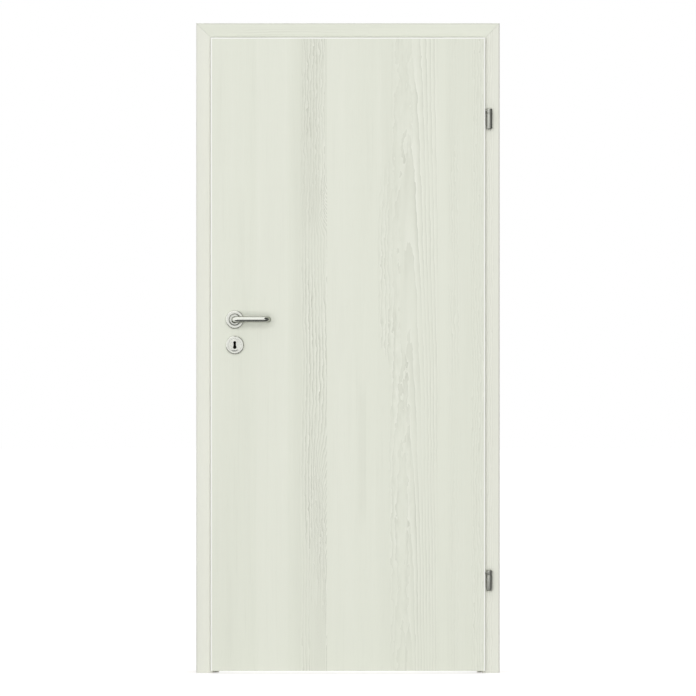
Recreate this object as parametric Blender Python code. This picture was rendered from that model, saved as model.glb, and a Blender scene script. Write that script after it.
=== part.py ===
"""Interior door: a rebated flush leaf on two barrel hinges in a wooden casing frame.

The doorway runs along Y. The viewer of the picture stands at -Y, on the side that the leaf opens to.
+X points to the hinge side and +Z up. The origin is the centre of the hinge-side lining's foot.
"""

import math

import bmesh
import bpy
from mathutils import Matrix, Vector

# Leaf
LEAF_WIDTH = 0.860
LEAF_HEIGHT = 1.985
LEAF_THICKNESS = 0.040
LIP_THICKNESS = 0.0145
LIP_OVERHANG = 0.013
LIP_EDGE_RADIUS = 0.0024
REAR_EDGE_RADIUS = 0.0008
SKIN_THICKNESS = 0.0025
HINGE_STILE_WIDTH = 0.060
LOCK_STILE_WIDTH = 0.130
RAIL_HEIGHT = 0.045

# Clearances round the leaf
FLOOR_GAP = 0.007
REBATE_SIDE_GAP = 0.005
LIP_TO_FACE_GAP = 0.005
LEAF_TO_STOP_GAP = 0.008

# Frame
WALL_THICKNESS = 0.140
LINING_THICKNESS = 0.022
STOP_WIDTH = 0.0165
FRONT_ARCHITRAVE_WIDTH = 0.054
FRONT_ARCHITRAVE_THICKNESS = 0.022
FRONT_OUTER_RADIUS = 0.007
FRONT_INNER_RADIUS = 0.002
REAR_ARCHITRAVE_WIDTH = 0.060
REAR_ARCHITRAVE_THICKNESS = 0.016
REAR_OUTER_RADIUS = 0.006
REAR_INNER_RADIUS = 0.002
TONGUE_THICKNESS = 0.006
TONGUE_LENGTH = 0.022
TONGUE_INSET = 0.008
GROOVE_SPARE_DEPTH = 0.006
LINING_EDGE_RADIUS = 0.0015

# Seal in the stop
SEAL_PROUD = 0.003
SEAL_LIP_FLAT = 0.0005
SEAL_WIDTH = 0.0085
SEAL_INSET = 0.004
SEAL_FOOT_THICKNESS = 0.003
SEAL_FOOT_DEPTH = 0.006

# Hinges
HINGE_HEIGHT = 0.065
HINGE_LEAF_KNUCKLE_HEIGHT = 0.0145
HINGE_RADIUS = 0.009
HINGE_END_RADIUS = 0.0035
HINGE_AXIS_FROM_LEAF = 0.0135
HINGE_RUNNING_GAP = 0.0005
HINGE_PIN_RADIUS = 0.004
HINGE_PIN_LENGTH = 0.009
HINGE_PIN_CLEARANCE = 0.0004
UPPER_HINGE_FROM_LEAF_TOP = 0.255
LOWER_HINGE_ABOVE_FLOOR = 0.290
LEAF_SHANK_RADIUS = 0.003
LEAF_SHANK_DEPTH = 0.038
FRAME_SHANK_RADIUS = 0.004
FRAME_SHANK_DEPTH = 0.017
FRAME_SHANK_FROM_END = 0.013

# Lock
SPINDLE_FROM_LEAF_EDGE = 0.0755
SPINDLE_ABOVE_FLOOR = 1.108
SPINDLE_SIDE = 0.008
SPINDLE_HOLE_RADIUS = 0.009
KEY_BELOW_SPINDLE = 0.072
KEYHOLE_TOP_RADIUS = 0.0045
KEYHOLE_WAIST_WIDTH = 0.0064
KEYHOLE_FOOT_RADIUS = 0.0054
KEYHOLE_FOOT_DROP = 0.0145
KEYHOLE_SPARE = 0.0008
LOCK_CASE_THICKNESS = 0.014
LOCK_CASE_ABOVE_SPINDLE = 0.052
LOCK_CASE_BELOW_SPINDLE = 0.113
LOCK_CASE_BEHIND_SPINDLE = 0.024
FOREND_WIDTH = 0.020
FOREND_HEIGHT = 0.235
FOREND_THICKNESS = 0.003
FOREND_CENTRE_BELOW_SPINDLE = 0.036
BOLT_THICKNESS = 0.010
BOLT_DEPTH = 0.024
LATCH_HEIGHT = 0.016
LATCH_BEVEL = 0.007
LATCH_NOSE = 0.0025
DEAD_BOLT_HEIGHT = 0.022

# Strike plate
STRIKE_HEIGHT = 0.170
STRIKE_THICKNESS = 0.002
STRIKE_DEPTH = 0.024
STRIKE_FRONT_LEG = 0.007
STRIKE_SLOT_SPARE = 0.0012
STRIKE_POCKET_DEPTH = 0.014

# Handles
ROSE_RADIUS = 0.0285
ROSE_HEIGHT = 0.009
ROSE_RIM_RADIUS = 0.003
ROSE_BORE_RADIUS = 0.0182
COLLAR_CLEARANCE = 0.0011
COLLAR_HEIGHT = 0.0104
COLLAR_EDGE_RADIUS = 0.0012
LEVER_FOOT_GAP = 0.0006
NECK_FILLET_RADIUS = 0.0024
LEVER_RADIUS = 0.0092
LEVER_NECK_SWELL = 0.0006
LEVER_REACH = 0.1050
LEVER_PROJECTION = 0.050
LEVER_BEND_RADIUS = 0.0155
LEVER_TIP_GAP = 0.018
LEVER_TIP_RADIUS = 0.0015
KEY_ROSE_BELOW_SPINDLE = 0.0797
KEY_ROSE_STEP_RADIUS = 0.0205
KEY_ROSE_STEP_HEIGHT = 0.0008
KEY_COLLAR_HALF_WIDTH = 0.0098
KEY_COLLAR_HALF_HEIGHT = 0.0170
KEY_COLLAR_PROUD = 0.0012
KEY_COLLAR_ROOT = 0.004

# Fits
SEAT_GAP = 0.0003
SPINDLE_CLEARANCE = 0.0003
CUT_OVERRUN = 0.010

# Facets
FINE_SIDES = 48
ROUND_SIDES = 24
LEVER_SIDES = 20
BEND_STEPS = 8
CORNER_STEPS = 5
EDGE_STEPS = 2
ROUND_PROFILE = 0.5
SMOOTH_ANGLE = math.radians(35)

# Places that follow from the sizes above
LEAF_BOTTOM = FLOOR_GAP
LEAF_TOP = FLOOR_GAP + LEAF_HEIGHT
BODY_TOP = LEAF_TOP - LIP_OVERHANG
LIP_HALF_WIDTH = LEAF_WIDTH / 2
BODY_HALF_WIDTH = LIP_HALF_WIDTH - LIP_OVERHANG
REBATE_HALF_WIDTH = BODY_HALF_WIDTH + REBATE_SIDE_GAP
REBATE_TOP = BODY_TOP + REBATE_SIDE_GAP
PASSAGE_HALF_WIDTH = REBATE_HALF_WIDTH - STOP_WIDTH
PASSAGE_HEIGHT = REBATE_TOP - STOP_WIDTH
ARCHITRAVE_FACE = -FRONT_ARCHITRAVE_THICKNESS
LIP_BACK = ARCHITRAVE_FACE - LIP_TO_FACE_GAP
LEAF_FRONT = LIP_BACK - LIP_THICKNESS
LEAF_BACK = LEAF_FRONT + LEAF_THICKNESS
LEAF_MIDDLE = (LEAF_FRONT + LEAF_BACK) / 2
STOP_FACE = LEAF_BACK + LEAF_TO_STOP_GAP
LINING_BACK = WALL_THICKNESS - SEAT_GAP
REAR_FACE = WALL_THICKNESS + REAR_ARCHITRAVE_THICKNESS
BODY_EDGE_MIDDLE = (LIP_BACK + LEAF_BACK) / 2
HINGE_AXIS_X = LIP_HALF_WIDTH + HINGE_AXIS_FROM_LEAF
HINGE_AXIS_Y = LEAF_FRONT + LIP_THICKNESS / 2
SPINDLE_X = -LIP_HALF_WIDTH + SPINDLE_FROM_LEAF_EDGE
SPINDLE_Z = SPINDLE_ABOVE_FLOOR
KEY_Z = SPINDLE_Z - KEY_BELOW_SPINDLE
COLLAR_RADIUS = ROSE_BORE_RADIUS - COLLAR_CLEARANCE
LATCH_Z = SPINDLE_Z
DEAD_BOLT_Z = KEY_Z

# The sizes above are worked out from the middle of the doorway and the wall's front surface, and
# each mesh is moved by this much, so that the origin is the middle of the hinge-side lining's foot.
TO_ORIGIN = Vector((
    -(PASSAGE_HALF_WIDTH + LINING_THICKNESS / 2),
    -(STOP_FACE + LINING_BACK) / 2,
    0.0,
))


def clear_scene():
    """Remove every object of the open file."""
    for existing in list(bpy.data.objects):
        bpy.data.objects.remove(existing, do_unlink=True)


def make_material(name, colour, roughness, metallic=0.0):
    """A Principled material of one colour."""
    material = bpy.data.materials.new(name)
    material.use_nodes = True
    shader = material.node_tree.nodes["Principled BSDF"]
    shader.inputs["Base Color"].default_value = (*colour, 1.0)
    shader.inputs["Roughness"].default_value = roughness
    shader.inputs["Metallic"].default_value = metallic
    material.diffuse_color = (*colour, 1.0)
    return material


def hang(obj, carrier):
    """Parent an object to the empty that carries it, if it has one, and keep its place."""
    if carrier is not None:
        obj.parent = carrier
        obj.matrix_parent_inverse = Matrix.Translation(-carrier.location)


def make_axis(name, point, carrier=None):
    """An empty on a joint's axis, at a point in doorway coordinates."""
    axis = bpy.data.objects.new(name, None)
    axis.location = Vector(point) + TO_ORIGIN
    bpy.context.scene.collection.objects.link(axis)
    hang(axis, carrier)
    return axis


def place(bm, name, material=None, carrier=None, smooth=False):
    """Turn a bmesh in doorway coordinates into an object. One without a material is a cutter."""
    bmesh.ops.recalc_face_normals(bm, faces=bm.faces)
    mesh = bpy.data.meshes.new(name)
    bm.to_mesh(mesh)
    bm.free()
    if smooth:
        mesh.shade_smooth()
        mesh.set_sharp_from_angle(angle=SMOOTH_ANGLE)
    obj = bpy.data.objects.new(name, mesh)
    obj.location = TO_ORIGIN
    bpy.context.scene.collection.objects.link(obj)
    hang(obj, carrier)
    if material is None:
        obj.hide_render = True
        obj.display_type = "WIRE"
    else:
        mesh.materials.append(material)
    return obj


def combine(obj, other, operation, solver="EXACT"):
    """Add a Boolean modifier that cuts, or joins, the other object.

    The exact solver can drop a facet of a small round hole in a board two metres long, so the boards
    with such holes ask for the manifold one.
    """
    modifier = obj.modifiers.new(other.name, "BOOLEAN")
    modifier.operation = operation
    modifier.solver = solver
    modifier.object = other


def cut(obj, *cutters, solver="EXACT"):
    """Cut each of the cutters out of the object."""
    for cutter in cutters:
        combine(obj, cutter, "DIFFERENCE", solver)


def box_mesh(low, high):
    """A box between two corners."""
    bm = bmesh.new()
    bmesh.ops.create_cube(bm, size=1.0)
    size = Vector(high) - Vector(low)
    bmesh.ops.scale(bm, verts=bm.verts, vec=size)
    bmesh.ops.translate(bm, verts=bm.verts, vec=Vector(low) + size / 2)
    return bm


def loft_mesh(rings, endless=False, bm=None):
    """A closed solid through rings of points.

    The first and the last ring get a flat face each, or are joined to each other if it is endless.
    """
    if bm is None:
        bm = bmesh.new()
    rows = [[bm.verts.new(point) for point in ring] for ring in rings]
    if endless:
        rows.append(rows[0])
    else:
        bm.faces.new(rows[0])
        bm.faces.new(rows[-1])
    for below, above in zip(rows, rows[1:]):
        for i in range(len(below)):
            j = (i + 1) % len(below)
            bm.faces.new((below[i], below[j], above[j], above[i]))
    return bm


def arc(centre, radius, start, end, steps):
    """Points on an arc between two angles in degrees, both ends included."""
    angles = [math.radians(start + (end - start) * i / steps) for i in range(steps + 1)]
    return [(centre[0] + radius * math.cos(a), centre[1] + radius * math.sin(a)) for a in angles]


def rounded_outline(corners):
    """A closed outline from corners (a, b, radius), each rounded with its own radius."""
    points = []
    for index, (a, b, radius) in enumerate(corners):
        corner = Vector((a, b))
        if radius == 0.0:
            points.append((a, b))
            continue
        before = (Vector(corners[index - 1][:2]) - corner).normalized()
        after = (Vector(corners[(index + 1) % len(corners)][:2]) - corner).normalized()
        half = before.angle(after) / 2
        centre = corner + (before + after).normalized() * (radius / math.sin(half))
        start = corner + before * (radius / math.tan(half)) - centre
        end = corner + after * (radius / math.tan(half)) - centre
        sweep = start.angle_signed(end)
        for step in range(CORNER_STEPS + 1):
            turn = -sweep * step / CORNER_STEPS
            cosine, sine = math.cos(turn), math.sin(turn)
            points.append((
                centre.x + start.x * cosine - start.y * sine,
                centre.y + start.x * sine + start.y * cosine,
            ))
    return points


def jamb_mesh(outline, side):
    """A section (outward from the passage, depth) run up one side of the doorway to the mitre."""
    seam = SEAT_GAP / math.sqrt(2)
    foot = [(side * (PASSAGE_HALF_WIDTH + u), y, 0.0) for u, y in outline]
    mitre = [(x, y, PASSAGE_HEIGHT + u - seam) for (x, y, _), (u, _) in zip(foot, outline)]
    return loft_mesh([foot, mitre])


def head_mesh(outline):
    """The same section run across the top, mitred at both ends."""
    seam = SEAT_GAP / math.sqrt(2)
    ends = [
        [(side * (PASSAGE_HALF_WIDTH + u - seam), y, PASSAGE_HEIGHT + u) for u, y in outline]
        for side in (-1, 1)
    ]
    return loft_mesh(ends)


def upright_mesh(outline, low, high):
    """An outline in X and Y, run up from one height to another."""
    return loft_mesh([[(x, y, z) for x, y in outline] for z in (low, high)])


def through_mesh(outline, front, back):
    """An outline in X and Z, run from one depth to another."""
    return loft_mesh([[(x, y, z) for x, z in outline] for y in (front, back)])


def turned_mesh(profile, centre, axis, sides, endless=False, bm=None):
    """A profile of (radius, height) turned round an axis through the centre."""
    upward = Vector(axis).normalized()
    across = upward.orthogonal().normalized()
    side = upward.cross(across)
    rings = []
    for radius, height in profile:
        middle = Vector(centre) + upward * height
        rings.append([
            middle + (across * math.cos(turn) + side * math.sin(turn)) * radius
            for turn in (2 * math.pi * i / sides for i in range(sides))
        ])
    return loft_mesh(rings, endless, bm)


def rods_mesh(ends, radius):
    """Round rods, each between a pair of points."""
    bm = bmesh.new()
    for start, end in ends:
        along = Vector(end) - Vector(start)
        turned_mesh([(radius, 0.0), (radius, along.length)], start, along, ROUND_SIDES, bm=bm)
    return bm


def build_run(name, outline, material):
    """The three mitred lengths of one section round the doorway."""
    return {
        "hinge": place(jamb_mesh(outline, 1), f"hinge_side_{name}", material),
        "lock": place(jamb_mesh(outline, -1), f"lock_side_{name}", material),
        "head": place(head_mesh(outline), f"head_{name}", material),
    }


def lining_outline():
    """Lining board, with the seal's groove in its front edge and the tongue's in its rear edge."""
    groove = SEAL_INSET + (SEAL_WIDTH - SEAL_FOOT_THICKNESS) / 2 - SEAT_GAP
    groove_end = groove + SEAL_FOOT_THICKNESS + 2 * SEAT_GAP
    groove_bottom = STOP_FACE + SEAL_FOOT_DEPTH + SEAT_GAP
    slot = TONGUE_INSET - SEAT_GAP
    slot_end = TONGUE_INSET + TONGUE_THICKNESS + SEAT_GAP
    slot_bottom = WALL_THICKNESS - TONGUE_LENGTH - GROOVE_SPARE_DEPTH
    return rounded_outline([
        (0.0, STOP_FACE, LINING_EDGE_RADIUS),
        (groove, STOP_FACE, 0.0),
        (groove, groove_bottom, 0.0),
        (groove_end, groove_bottom, 0.0),
        (groove_end, STOP_FACE, 0.0),
        (LINING_THICKNESS, STOP_FACE, 0.0),
        (LINING_THICKNESS, LINING_BACK, 0.0),
        (slot_end, LINING_BACK, 0.0),
        (slot_end, slot_bottom, 0.0),
        (slot, slot_bottom, 0.0),
        (slot, LINING_BACK, 0.0),
        (0.0, LINING_BACK, 0.0),
    ])


def front_architrave_outline():
    """Front architrave, whose inner edge is the rebate and returns to the lining's front edge."""
    inner = STOP_WIDTH
    outer = STOP_WIDTH + FRONT_ARCHITRAVE_WIDTH
    return rounded_outline([
        (inner, ARCHITRAVE_FACE, FRONT_INNER_RADIUS),
        (outer, ARCHITRAVE_FACE, FRONT_OUTER_RADIUS),
        (outer, 0.0, 0.0),
        (LINING_THICKNESS, 0.0, 0.0),
        (LINING_THICKNESS, STOP_FACE - SEAT_GAP, 0.0),
        (inner, STOP_FACE - SEAT_GAP, 0.0),
    ])


def rear_architrave_outline():
    """Rear architrave, with the tongue that plugs into the lining's rear edge."""
    tongue_end = TONGUE_INSET + TONGUE_THICKNESS
    return rounded_outline([
        (0.0, REAR_FACE, REAR_INNER_RADIUS),
        (0.0, WALL_THICKNESS, 0.0),
        (TONGUE_INSET, WALL_THICKNESS, 0.0),
        (TONGUE_INSET, WALL_THICKNESS - TONGUE_LENGTH, 0.0),
        (tongue_end, WALL_THICKNESS - TONGUE_LENGTH, 0.0),
        (tongue_end, WALL_THICKNESS, 0.0),
        (REAR_ARCHITRAVE_WIDTH, WALL_THICKNESS, 0.0),
        (REAR_ARCHITRAVE_WIDTH, REAR_FACE, REAR_OUTER_RADIUS),
    ])


def seal_outline():
    """Seal, with its foot in the lining's groove and its rounded lip in front of the stop."""
    foot = SEAL_INSET + (SEAL_WIDTH - SEAL_FOOT_THICKNESS) / 2
    front = STOP_FACE - SEAL_PROUD
    back = STOP_FACE - SEAT_GAP
    round_radius = SEAL_PROUD - SEAT_GAP - SEAL_LIP_FLAT
    return rounded_outline([
        (SEAL_INSET, front, round_radius),
        (SEAL_INSET + SEAL_WIDTH, front, round_radius),
        (SEAL_INSET + SEAL_WIDTH, back, 0.0),
        (foot + SEAL_FOOT_THICKNESS, back, 0.0),
        (foot + SEAL_FOOT_THICKNESS, STOP_FACE + SEAL_FOOT_DEPTH, 0.0),
        (foot, STOP_FACE + SEAL_FOOT_DEPTH, 0.0),
        (foot, back, 0.0),
        (SEAL_INSET, back, 0.0),
    ])


def build_frame(decor, rubber):
    """Linings, architraves and seal. Returns the front architraves, which the fittings cut into."""
    build_run("lining", lining_outline(), decor)
    build_run("rear_architrave", rear_architrave_outline(), decor)
    build_run("seal", seal_outline(), rubber)
    return build_run("front_architrave", front_architrave_outline(), decor)


def skin_mesh(half_width, top, front, back, radius, outer_is_front):
    """A facing sheet whose outer edges are rounded at the two sides and the top."""
    bm = box_mesh((-half_width, front, LEAF_BOTTOM), (half_width, back, top))
    outer = front if outer_is_front else back
    edges = [
        edge
        for edge in bm.edges
        if all(abs(vert.co.y - outer) < SEAT_GAP for vert in edge.verts)
        and any(vert.co.z > LEAF_BOTTOM + SEAT_GAP for vert in edge.verts)
    ]
    bmesh.ops.bevel(
        bm,
        geom=edges,
        offset=radius,
        segments=CORNER_STEPS,
        affect="EDGES",
        profile=ROUND_PROFILE,
    )
    return bm


def rebate_cutter(leaf_axis):
    """Everything outside the leaf's body and behind its lip, at the sides and the top."""
    body = BODY_HALF_WIDTH
    outer = LIP_HALF_WIDTH + CUT_OVERRUN
    low = LEAF_BOTTOM - CUT_OVERRUN
    high = LEAF_TOP + CUT_OVERRUN
    outline = [
        (-outer, low),
        (-body, low),
        (-body, BODY_TOP),
        (body, BODY_TOP),
        (body, low),
        (outer, low),
        (outer, high),
        (-outer, high),
    ]
    rebate = through_mesh(outline, LIP_BACK, LEAF_BACK + CUT_OVERRUN)
    return place(rebate, "rebate_cutter", carrier=leaf_axis)


def keyhole_outline(spare):
    """Bit keyhole: a round top, a narrow waist and a round foot, all widened by the spare."""
    waist = KEYHOLE_WAIST_WIDTH / 2 + spare
    top_radius = KEYHOLE_TOP_RADIUS + spare
    foot_radius = KEYHOLE_FOOT_RADIUS + spare
    top_angle = math.degrees(math.acos(waist / top_radius))
    foot_angle = math.degrees(math.acos(waist / foot_radius))
    top = arc((SPINDLE_X, KEY_Z), top_radius, -top_angle, 180 + top_angle, 2 * BEND_STEPS)
    foot_centre = (SPINDLE_X, KEY_Z - KEYHOLE_FOOT_DROP)
    foot = arc(foot_centre, foot_radius, 180 - foot_angle, 360 + foot_angle, 2 * BEND_STEPS)
    return top + foot


def lock_holes(leaf_axis):
    """Cutters through the leaf for the spindle and for the key."""
    front = LEAF_FRONT - CUT_OVERRUN
    back = LEAF_BACK + CUT_OVERRUN
    spindle_axis = [((SPINDLE_X, front, SPINDLE_Z), (SPINDLE_X, back, SPINDLE_Z))]
    spindle = rods_mesh(spindle_axis, SPINDLE_HOLE_RADIUS)
    key = through_mesh(keyhole_outline(KEYHOLE_SPARE), front, back)
    return (
        place(spindle, "spindle_hole_cutter", carrier=leaf_axis),
        place(key, "key_hole_cutter", carrier=leaf_axis),
    )


def build_leaf(decor, chipboard, holes, leaf_axis):
    """Skins, stiles, rails and core. Returns the stiles, which the fittings cut into."""
    front = LEAF_FRONT + SKIN_THICKNESS + SEAT_GAP
    back = LEAF_BACK - SKIN_THICKNESS - SEAT_GAP
    hinge_inner = LIP_HALF_WIDTH - HINGE_STILE_WIDTH
    lock_inner = -LIP_HALF_WIDTH + LOCK_STILE_WIDTH
    rail_low = LEAF_TOP - RAIL_HEIGHT
    rail_high = LEAF_BOTTOM + RAIL_HEIGHT

    front_skin = skin_mesh(
        LIP_HALF_WIDTH, LEAF_TOP, LEAF_FRONT, LEAF_FRONT + SKIN_THICKNESS, LIP_EDGE_RADIUS, True
    )
    rear_skin = skin_mesh(
        BODY_HALF_WIDTH, BODY_TOP, LEAF_BACK - SKIN_THICKNESS, LEAF_BACK, REAR_EDGE_RADIUS, False
    )
    cut(place(front_skin, "front_skin", decor, leaf_axis), *holes)
    cut(place(rear_skin, "rear_skin", decor, leaf_axis), *holes)

    def board(name, low_x, high_x, low_z, high_z, material):
        bm = box_mesh((low_x, front, low_z), (high_x, back, high_z))
        return place(bm, name, material, leaf_axis)

    hinge_stile = board("hinge_stile", hinge_inner, LIP_HALF_WIDTH, LEAF_BOTTOM, LEAF_TOP, decor)
    lock_stile = board("lock_stile", -LIP_HALF_WIDTH, lock_inner, LEAF_BOTTOM, LEAF_TOP, decor)
    inner_low = lock_inner + SEAT_GAP
    inner_high = hinge_inner - SEAT_GAP
    top_rail = board("top_rail", inner_low, inner_high, rail_low, LEAF_TOP, decor)
    board("bottom_rail", inner_low, inner_high, LEAF_BOTTOM, rail_high, chipboard)
    board(
        "core_board", inner_low, inner_high, rail_high + SEAT_GAP, rail_low - SEAT_GAP, chipboard
    )
    rebate = rebate_cutter(leaf_axis)
    for piece in (hinge_stile, lock_stile, top_rail):
        cut(piece, rebate, solver="MANIFOLD")
    cut(lock_stile, *holes, solver="MANIFOLD")
    return hinge_stile, lock_stile


def forend_outline(spare):
    """Forend plate with half-round ends, as (depth, height), widened by the spare."""
    radius = FOREND_WIDTH / 2 + spare
    middle = SPINDLE_Z - FOREND_CENTRE_BELOW_SPINDLE
    rise = (FOREND_HEIGHT - FOREND_WIDTH) / 2
    top = arc((BODY_EDGE_MIDDLE, middle + rise), radius, 0, 180, 2 * BEND_STEPS)
    bottom = arc((BODY_EDGE_MIDDLE, middle - rise), radius, 180, 360, 2 * BEND_STEPS)
    return top + bottom


def sideways_mesh(outline, low, high):
    """An outline in Y and Z, run from one X to another."""
    return loft_mesh([[(x, y, z) for y, z in outline] for x in (low, high)])


def bolt_box(low_x, high_x, centre_z, height, spare):
    """The space that a bolt takes up between two X, widened by the spare."""
    half_y = BOLT_THICKNESS / 2 + spare
    half_z = height / 2 + spare
    return box_mesh(
        (low_x, BODY_EDGE_MIDDLE - half_y, centre_z - half_z),
        (high_x, BODY_EDGE_MIDDLE + half_y, centre_z + half_z),
    )


def build_lock(steel, lock_stile, holes, leaf_axis):
    """Mortise lock in the lock stile: case, forend and the two bolts, drawn back flush."""
    edge = -BODY_HALF_WIDTH
    case_front = edge + FOREND_THICKNESS + SEAT_GAP
    case_back = SPINDLE_X + LOCK_CASE_BEHIND_SPINDLE
    half = LOCK_CASE_THICKNESS / 2
    low = SPINDLE_Z - LOCK_CASE_BELOW_SPINDLE
    high = SPINDLE_Z + LOCK_CASE_ABOVE_SPINDLE

    case = place(
        box_mesh(
            (case_front, BODY_EDGE_MIDDLE - half, low), (case_back, BODY_EDGE_MIDDLE + half, high)
        ),
        "lock_case",
        steel,
        leaf_axis,
    )
    mortise = place(
        box_mesh(
            (edge - CUT_OVERRUN, BODY_EDGE_MIDDLE - half - SEAT_GAP, low - SEAT_GAP),
            (case_back + SEAT_GAP, BODY_EDGE_MIDDLE + half + SEAT_GAP, high + SEAT_GAP),
        ),
        "mortise_cutter",
        carrier=leaf_axis,
    )
    forend_seat = place(
        sideways_mesh(
            forend_outline(SEAT_GAP), edge - CUT_OVERRUN, edge + FOREND_THICKNESS + SEAT_GAP
        ),
        "forend_seat_cutter",
        carrier=leaf_axis,
    )
    cut(lock_stile, mortise, forend_seat, solver="MANIFOLD")

    plate = sideways_mesh(forend_outline(0.0), edge, edge + FOREND_THICKNESS)
    forend = place(plate, "lock_forend", steel, leaf_axis)
    for name, centre, height in (
        ("latch", LATCH_Z, LATCH_HEIGHT),
        ("dead_bolt", DEAD_BOLT_Z, DEAD_BOLT_HEIGHT),
    ):
        tunnel = place(
            bolt_box(edge - CUT_OVERRUN, edge + BOLT_DEPTH + SEAT_GAP, centre, height, SEAT_GAP),
            f"{name}_tunnel_cutter",
            carrier=leaf_axis,
        )
        cut(forend, tunnel)
        cut(case, tunnel)
    cut(case, *holes)

    front = BODY_EDGE_MIDDLE - BOLT_THICKNESS / 2
    back = BODY_EDGE_MIDDLE + BOLT_THICKNESS / 2
    latch_outline = [
        (edge, front),
        (edge, front + LATCH_NOSE),
        (edge + LATCH_BEVEL, back),
        (edge + BOLT_DEPTH, back),
        (edge + BOLT_DEPTH, front),
    ]
    half_latch = LATCH_HEIGHT / 2
    latch = upright_mesh(latch_outline, LATCH_Z - half_latch, LATCH_Z + half_latch)
    dead_bolt = bolt_box(edge, edge + BOLT_DEPTH, DEAD_BOLT_Z, DEAD_BOLT_HEIGHT, 0.0)
    place(latch, "latch_bolt", steel, leaf_axis)
    place(dead_bolt, "dead_bolt", steel, leaf_axis)


def build_strike_plate(steel, architrave):
    """Angled strike plate, set flush into the lock-side rebate, with a pocket behind each slot."""
    face = -REBATE_HALF_WIDTH
    middle = (LATCH_Z + DEAD_BOLT_Z) / 2
    low = middle - STRIKE_HEIGHT / 2
    high = middle + STRIKE_HEIGHT / 2

    def angle_outline(spare):
        back = ARCHITRAVE_FACE + STRIKE_DEPTH + spare
        out = CUT_OVERRUN if spare else 0.0
        return [
            (face + out, ARCHITRAVE_FACE - out),
            (face - STRIKE_FRONT_LEG - spare, ARCHITRAVE_FACE - out),
            (face - STRIKE_FRONT_LEG - spare, ARCHITRAVE_FACE + STRIKE_THICKNESS + spare),
            (face - STRIKE_THICKNESS - spare, ARCHITRAVE_FACE + STRIKE_THICKNESS + spare),
            (face - STRIKE_THICKNESS - spare, back),
            (face + out, back),
        ]

    plate = place(upright_mesh(angle_outline(0.0), low, high), "strike_plate", steel)
    seat = place(
        upright_mesh(angle_outline(SEAT_GAP), low - SEAT_GAP, high + SEAT_GAP), "strike_seat_cutter"
    )
    cut(architrave, seat)
    for name, centre, height in (
        ("latch", LATCH_Z, LATCH_HEIGHT),
        ("dead_bolt", DEAD_BOLT_Z, DEAD_BOLT_HEIGHT),
    ):
        pocket = place(
            bolt_box(
                face - STRIKE_POCKET_DEPTH, face + CUT_OVERRUN, centre, height, STRIKE_SLOT_SPARE
            ),
            f"{name}_pocket_cutter",
        )
        cut(plate, pocket)
        cut(architrave, pocket)


def build_hinge(name, centre_z, steel, hinge_stile, architrave, leaf_axis):
    """Barrel hinge: a frame part with its pin, and a leaf part that lifts off it."""
    bottom = centre_z - HINGE_HEIGHT / 2
    seam = bottom + HINGE_HEIGHT - HINGE_LEAF_KNUCKLE_HEIGHT
    frame_height = HINGE_HEIGHT - HINGE_LEAF_KNUCKLE_HEIGHT - HINGE_RUNNING_GAP
    leaf_height = HINGE_LEAF_KNUCKLE_HEIGHT
    base = (HINGE_AXIS_X, HINGE_AXIS_Y, bottom)
    seam_point = (HINGE_AXIS_X, HINGE_AXIS_Y, seam)
    end_centre = HINGE_RADIUS - HINGE_END_RADIUS

    rounded_foot = arc((end_centre, HINGE_END_RADIUS), HINGE_END_RADIUS, -90, 0, CORNER_STEPS)
    frame_profile = rounded_foot + [
        (HINGE_RADIUS, frame_height),
        (HINGE_PIN_RADIUS, frame_height),
        (HINGE_PIN_RADIUS, frame_height + HINGE_PIN_LENGTH),
    ]
    frame_part = place(
        turned_mesh(frame_profile, base, (0, 0, 1), ROUND_SIDES),
        f"{name}_hinge_frame_part",
        steel,
        smooth=True,
    )
    heights = (bottom + FRAME_SHANK_FROM_END, seam - FRAME_SHANK_FROM_END)
    shank_back = ARCHITRAVE_FACE + FRAME_SHANK_DEPTH

    def shank_ends(back):
        return [((HINGE_AXIS_X, HINGE_AXIS_Y, z), (HINGE_AXIS_X, back, z)) for z in heights]

    shanks = place(rods_mesh(shank_ends(shank_back), FRAME_SHANK_RADIUS), f"{name}_frame_shanks")
    holes = place(
        rods_mesh(shank_ends(shank_back + SEAT_GAP), FRAME_SHANK_RADIUS + SEAT_GAP),
        f"{name}_frame_shank_holes",
    )
    combine(frame_part, shanks, "UNION")
    cut(architrave, holes, solver="MANIFOLD")

    bore_radius = HINGE_PIN_RADIUS + HINGE_PIN_CLEARANCE
    bore_depth = HINGE_PIN_LENGTH
    rounded_top = arc(
        (end_centre, leaf_height - HINGE_END_RADIUS), HINGE_END_RADIUS, 0, 90, CORNER_STEPS
    )
    leaf_profile = [(bore_radius, bore_depth), (bore_radius, 0.0), (HINGE_RADIUS, 0.0)] + rounded_top
    leaf_part = place(
        turned_mesh(leaf_profile, seam_point, (0, 0, 1), ROUND_SIDES),
        f"{name}_hinge_leaf_part",
        steel,
        leaf_axis,
        smooth=True,
    )
    shank_z = seam + leaf_height / 2
    shank_start = (HINGE_AXIS_X - (HINGE_RADIUS + bore_radius) / 2, HINGE_AXIS_Y, shank_z)
    shank_x = LIP_HALF_WIDTH - LEAF_SHANK_DEPTH

    def leaf_shank(spare):
        ends = [(shank_start, (shank_x - spare, HINGE_AXIS_Y, shank_z))]
        return rods_mesh(ends, LEAF_SHANK_RADIUS + spare)

    shank = place(leaf_shank(0.0), f"{name}_leaf_shank", carrier=leaf_axis)
    combine(leaf_part, shank, "UNION")
    leaf_hole = place(leaf_shank(SEAT_GAP), f"{name}_leaf_shank_hole", carrier=leaf_axis)
    cut(hinge_stile, leaf_hole, solver="MANIFOLD")


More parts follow.
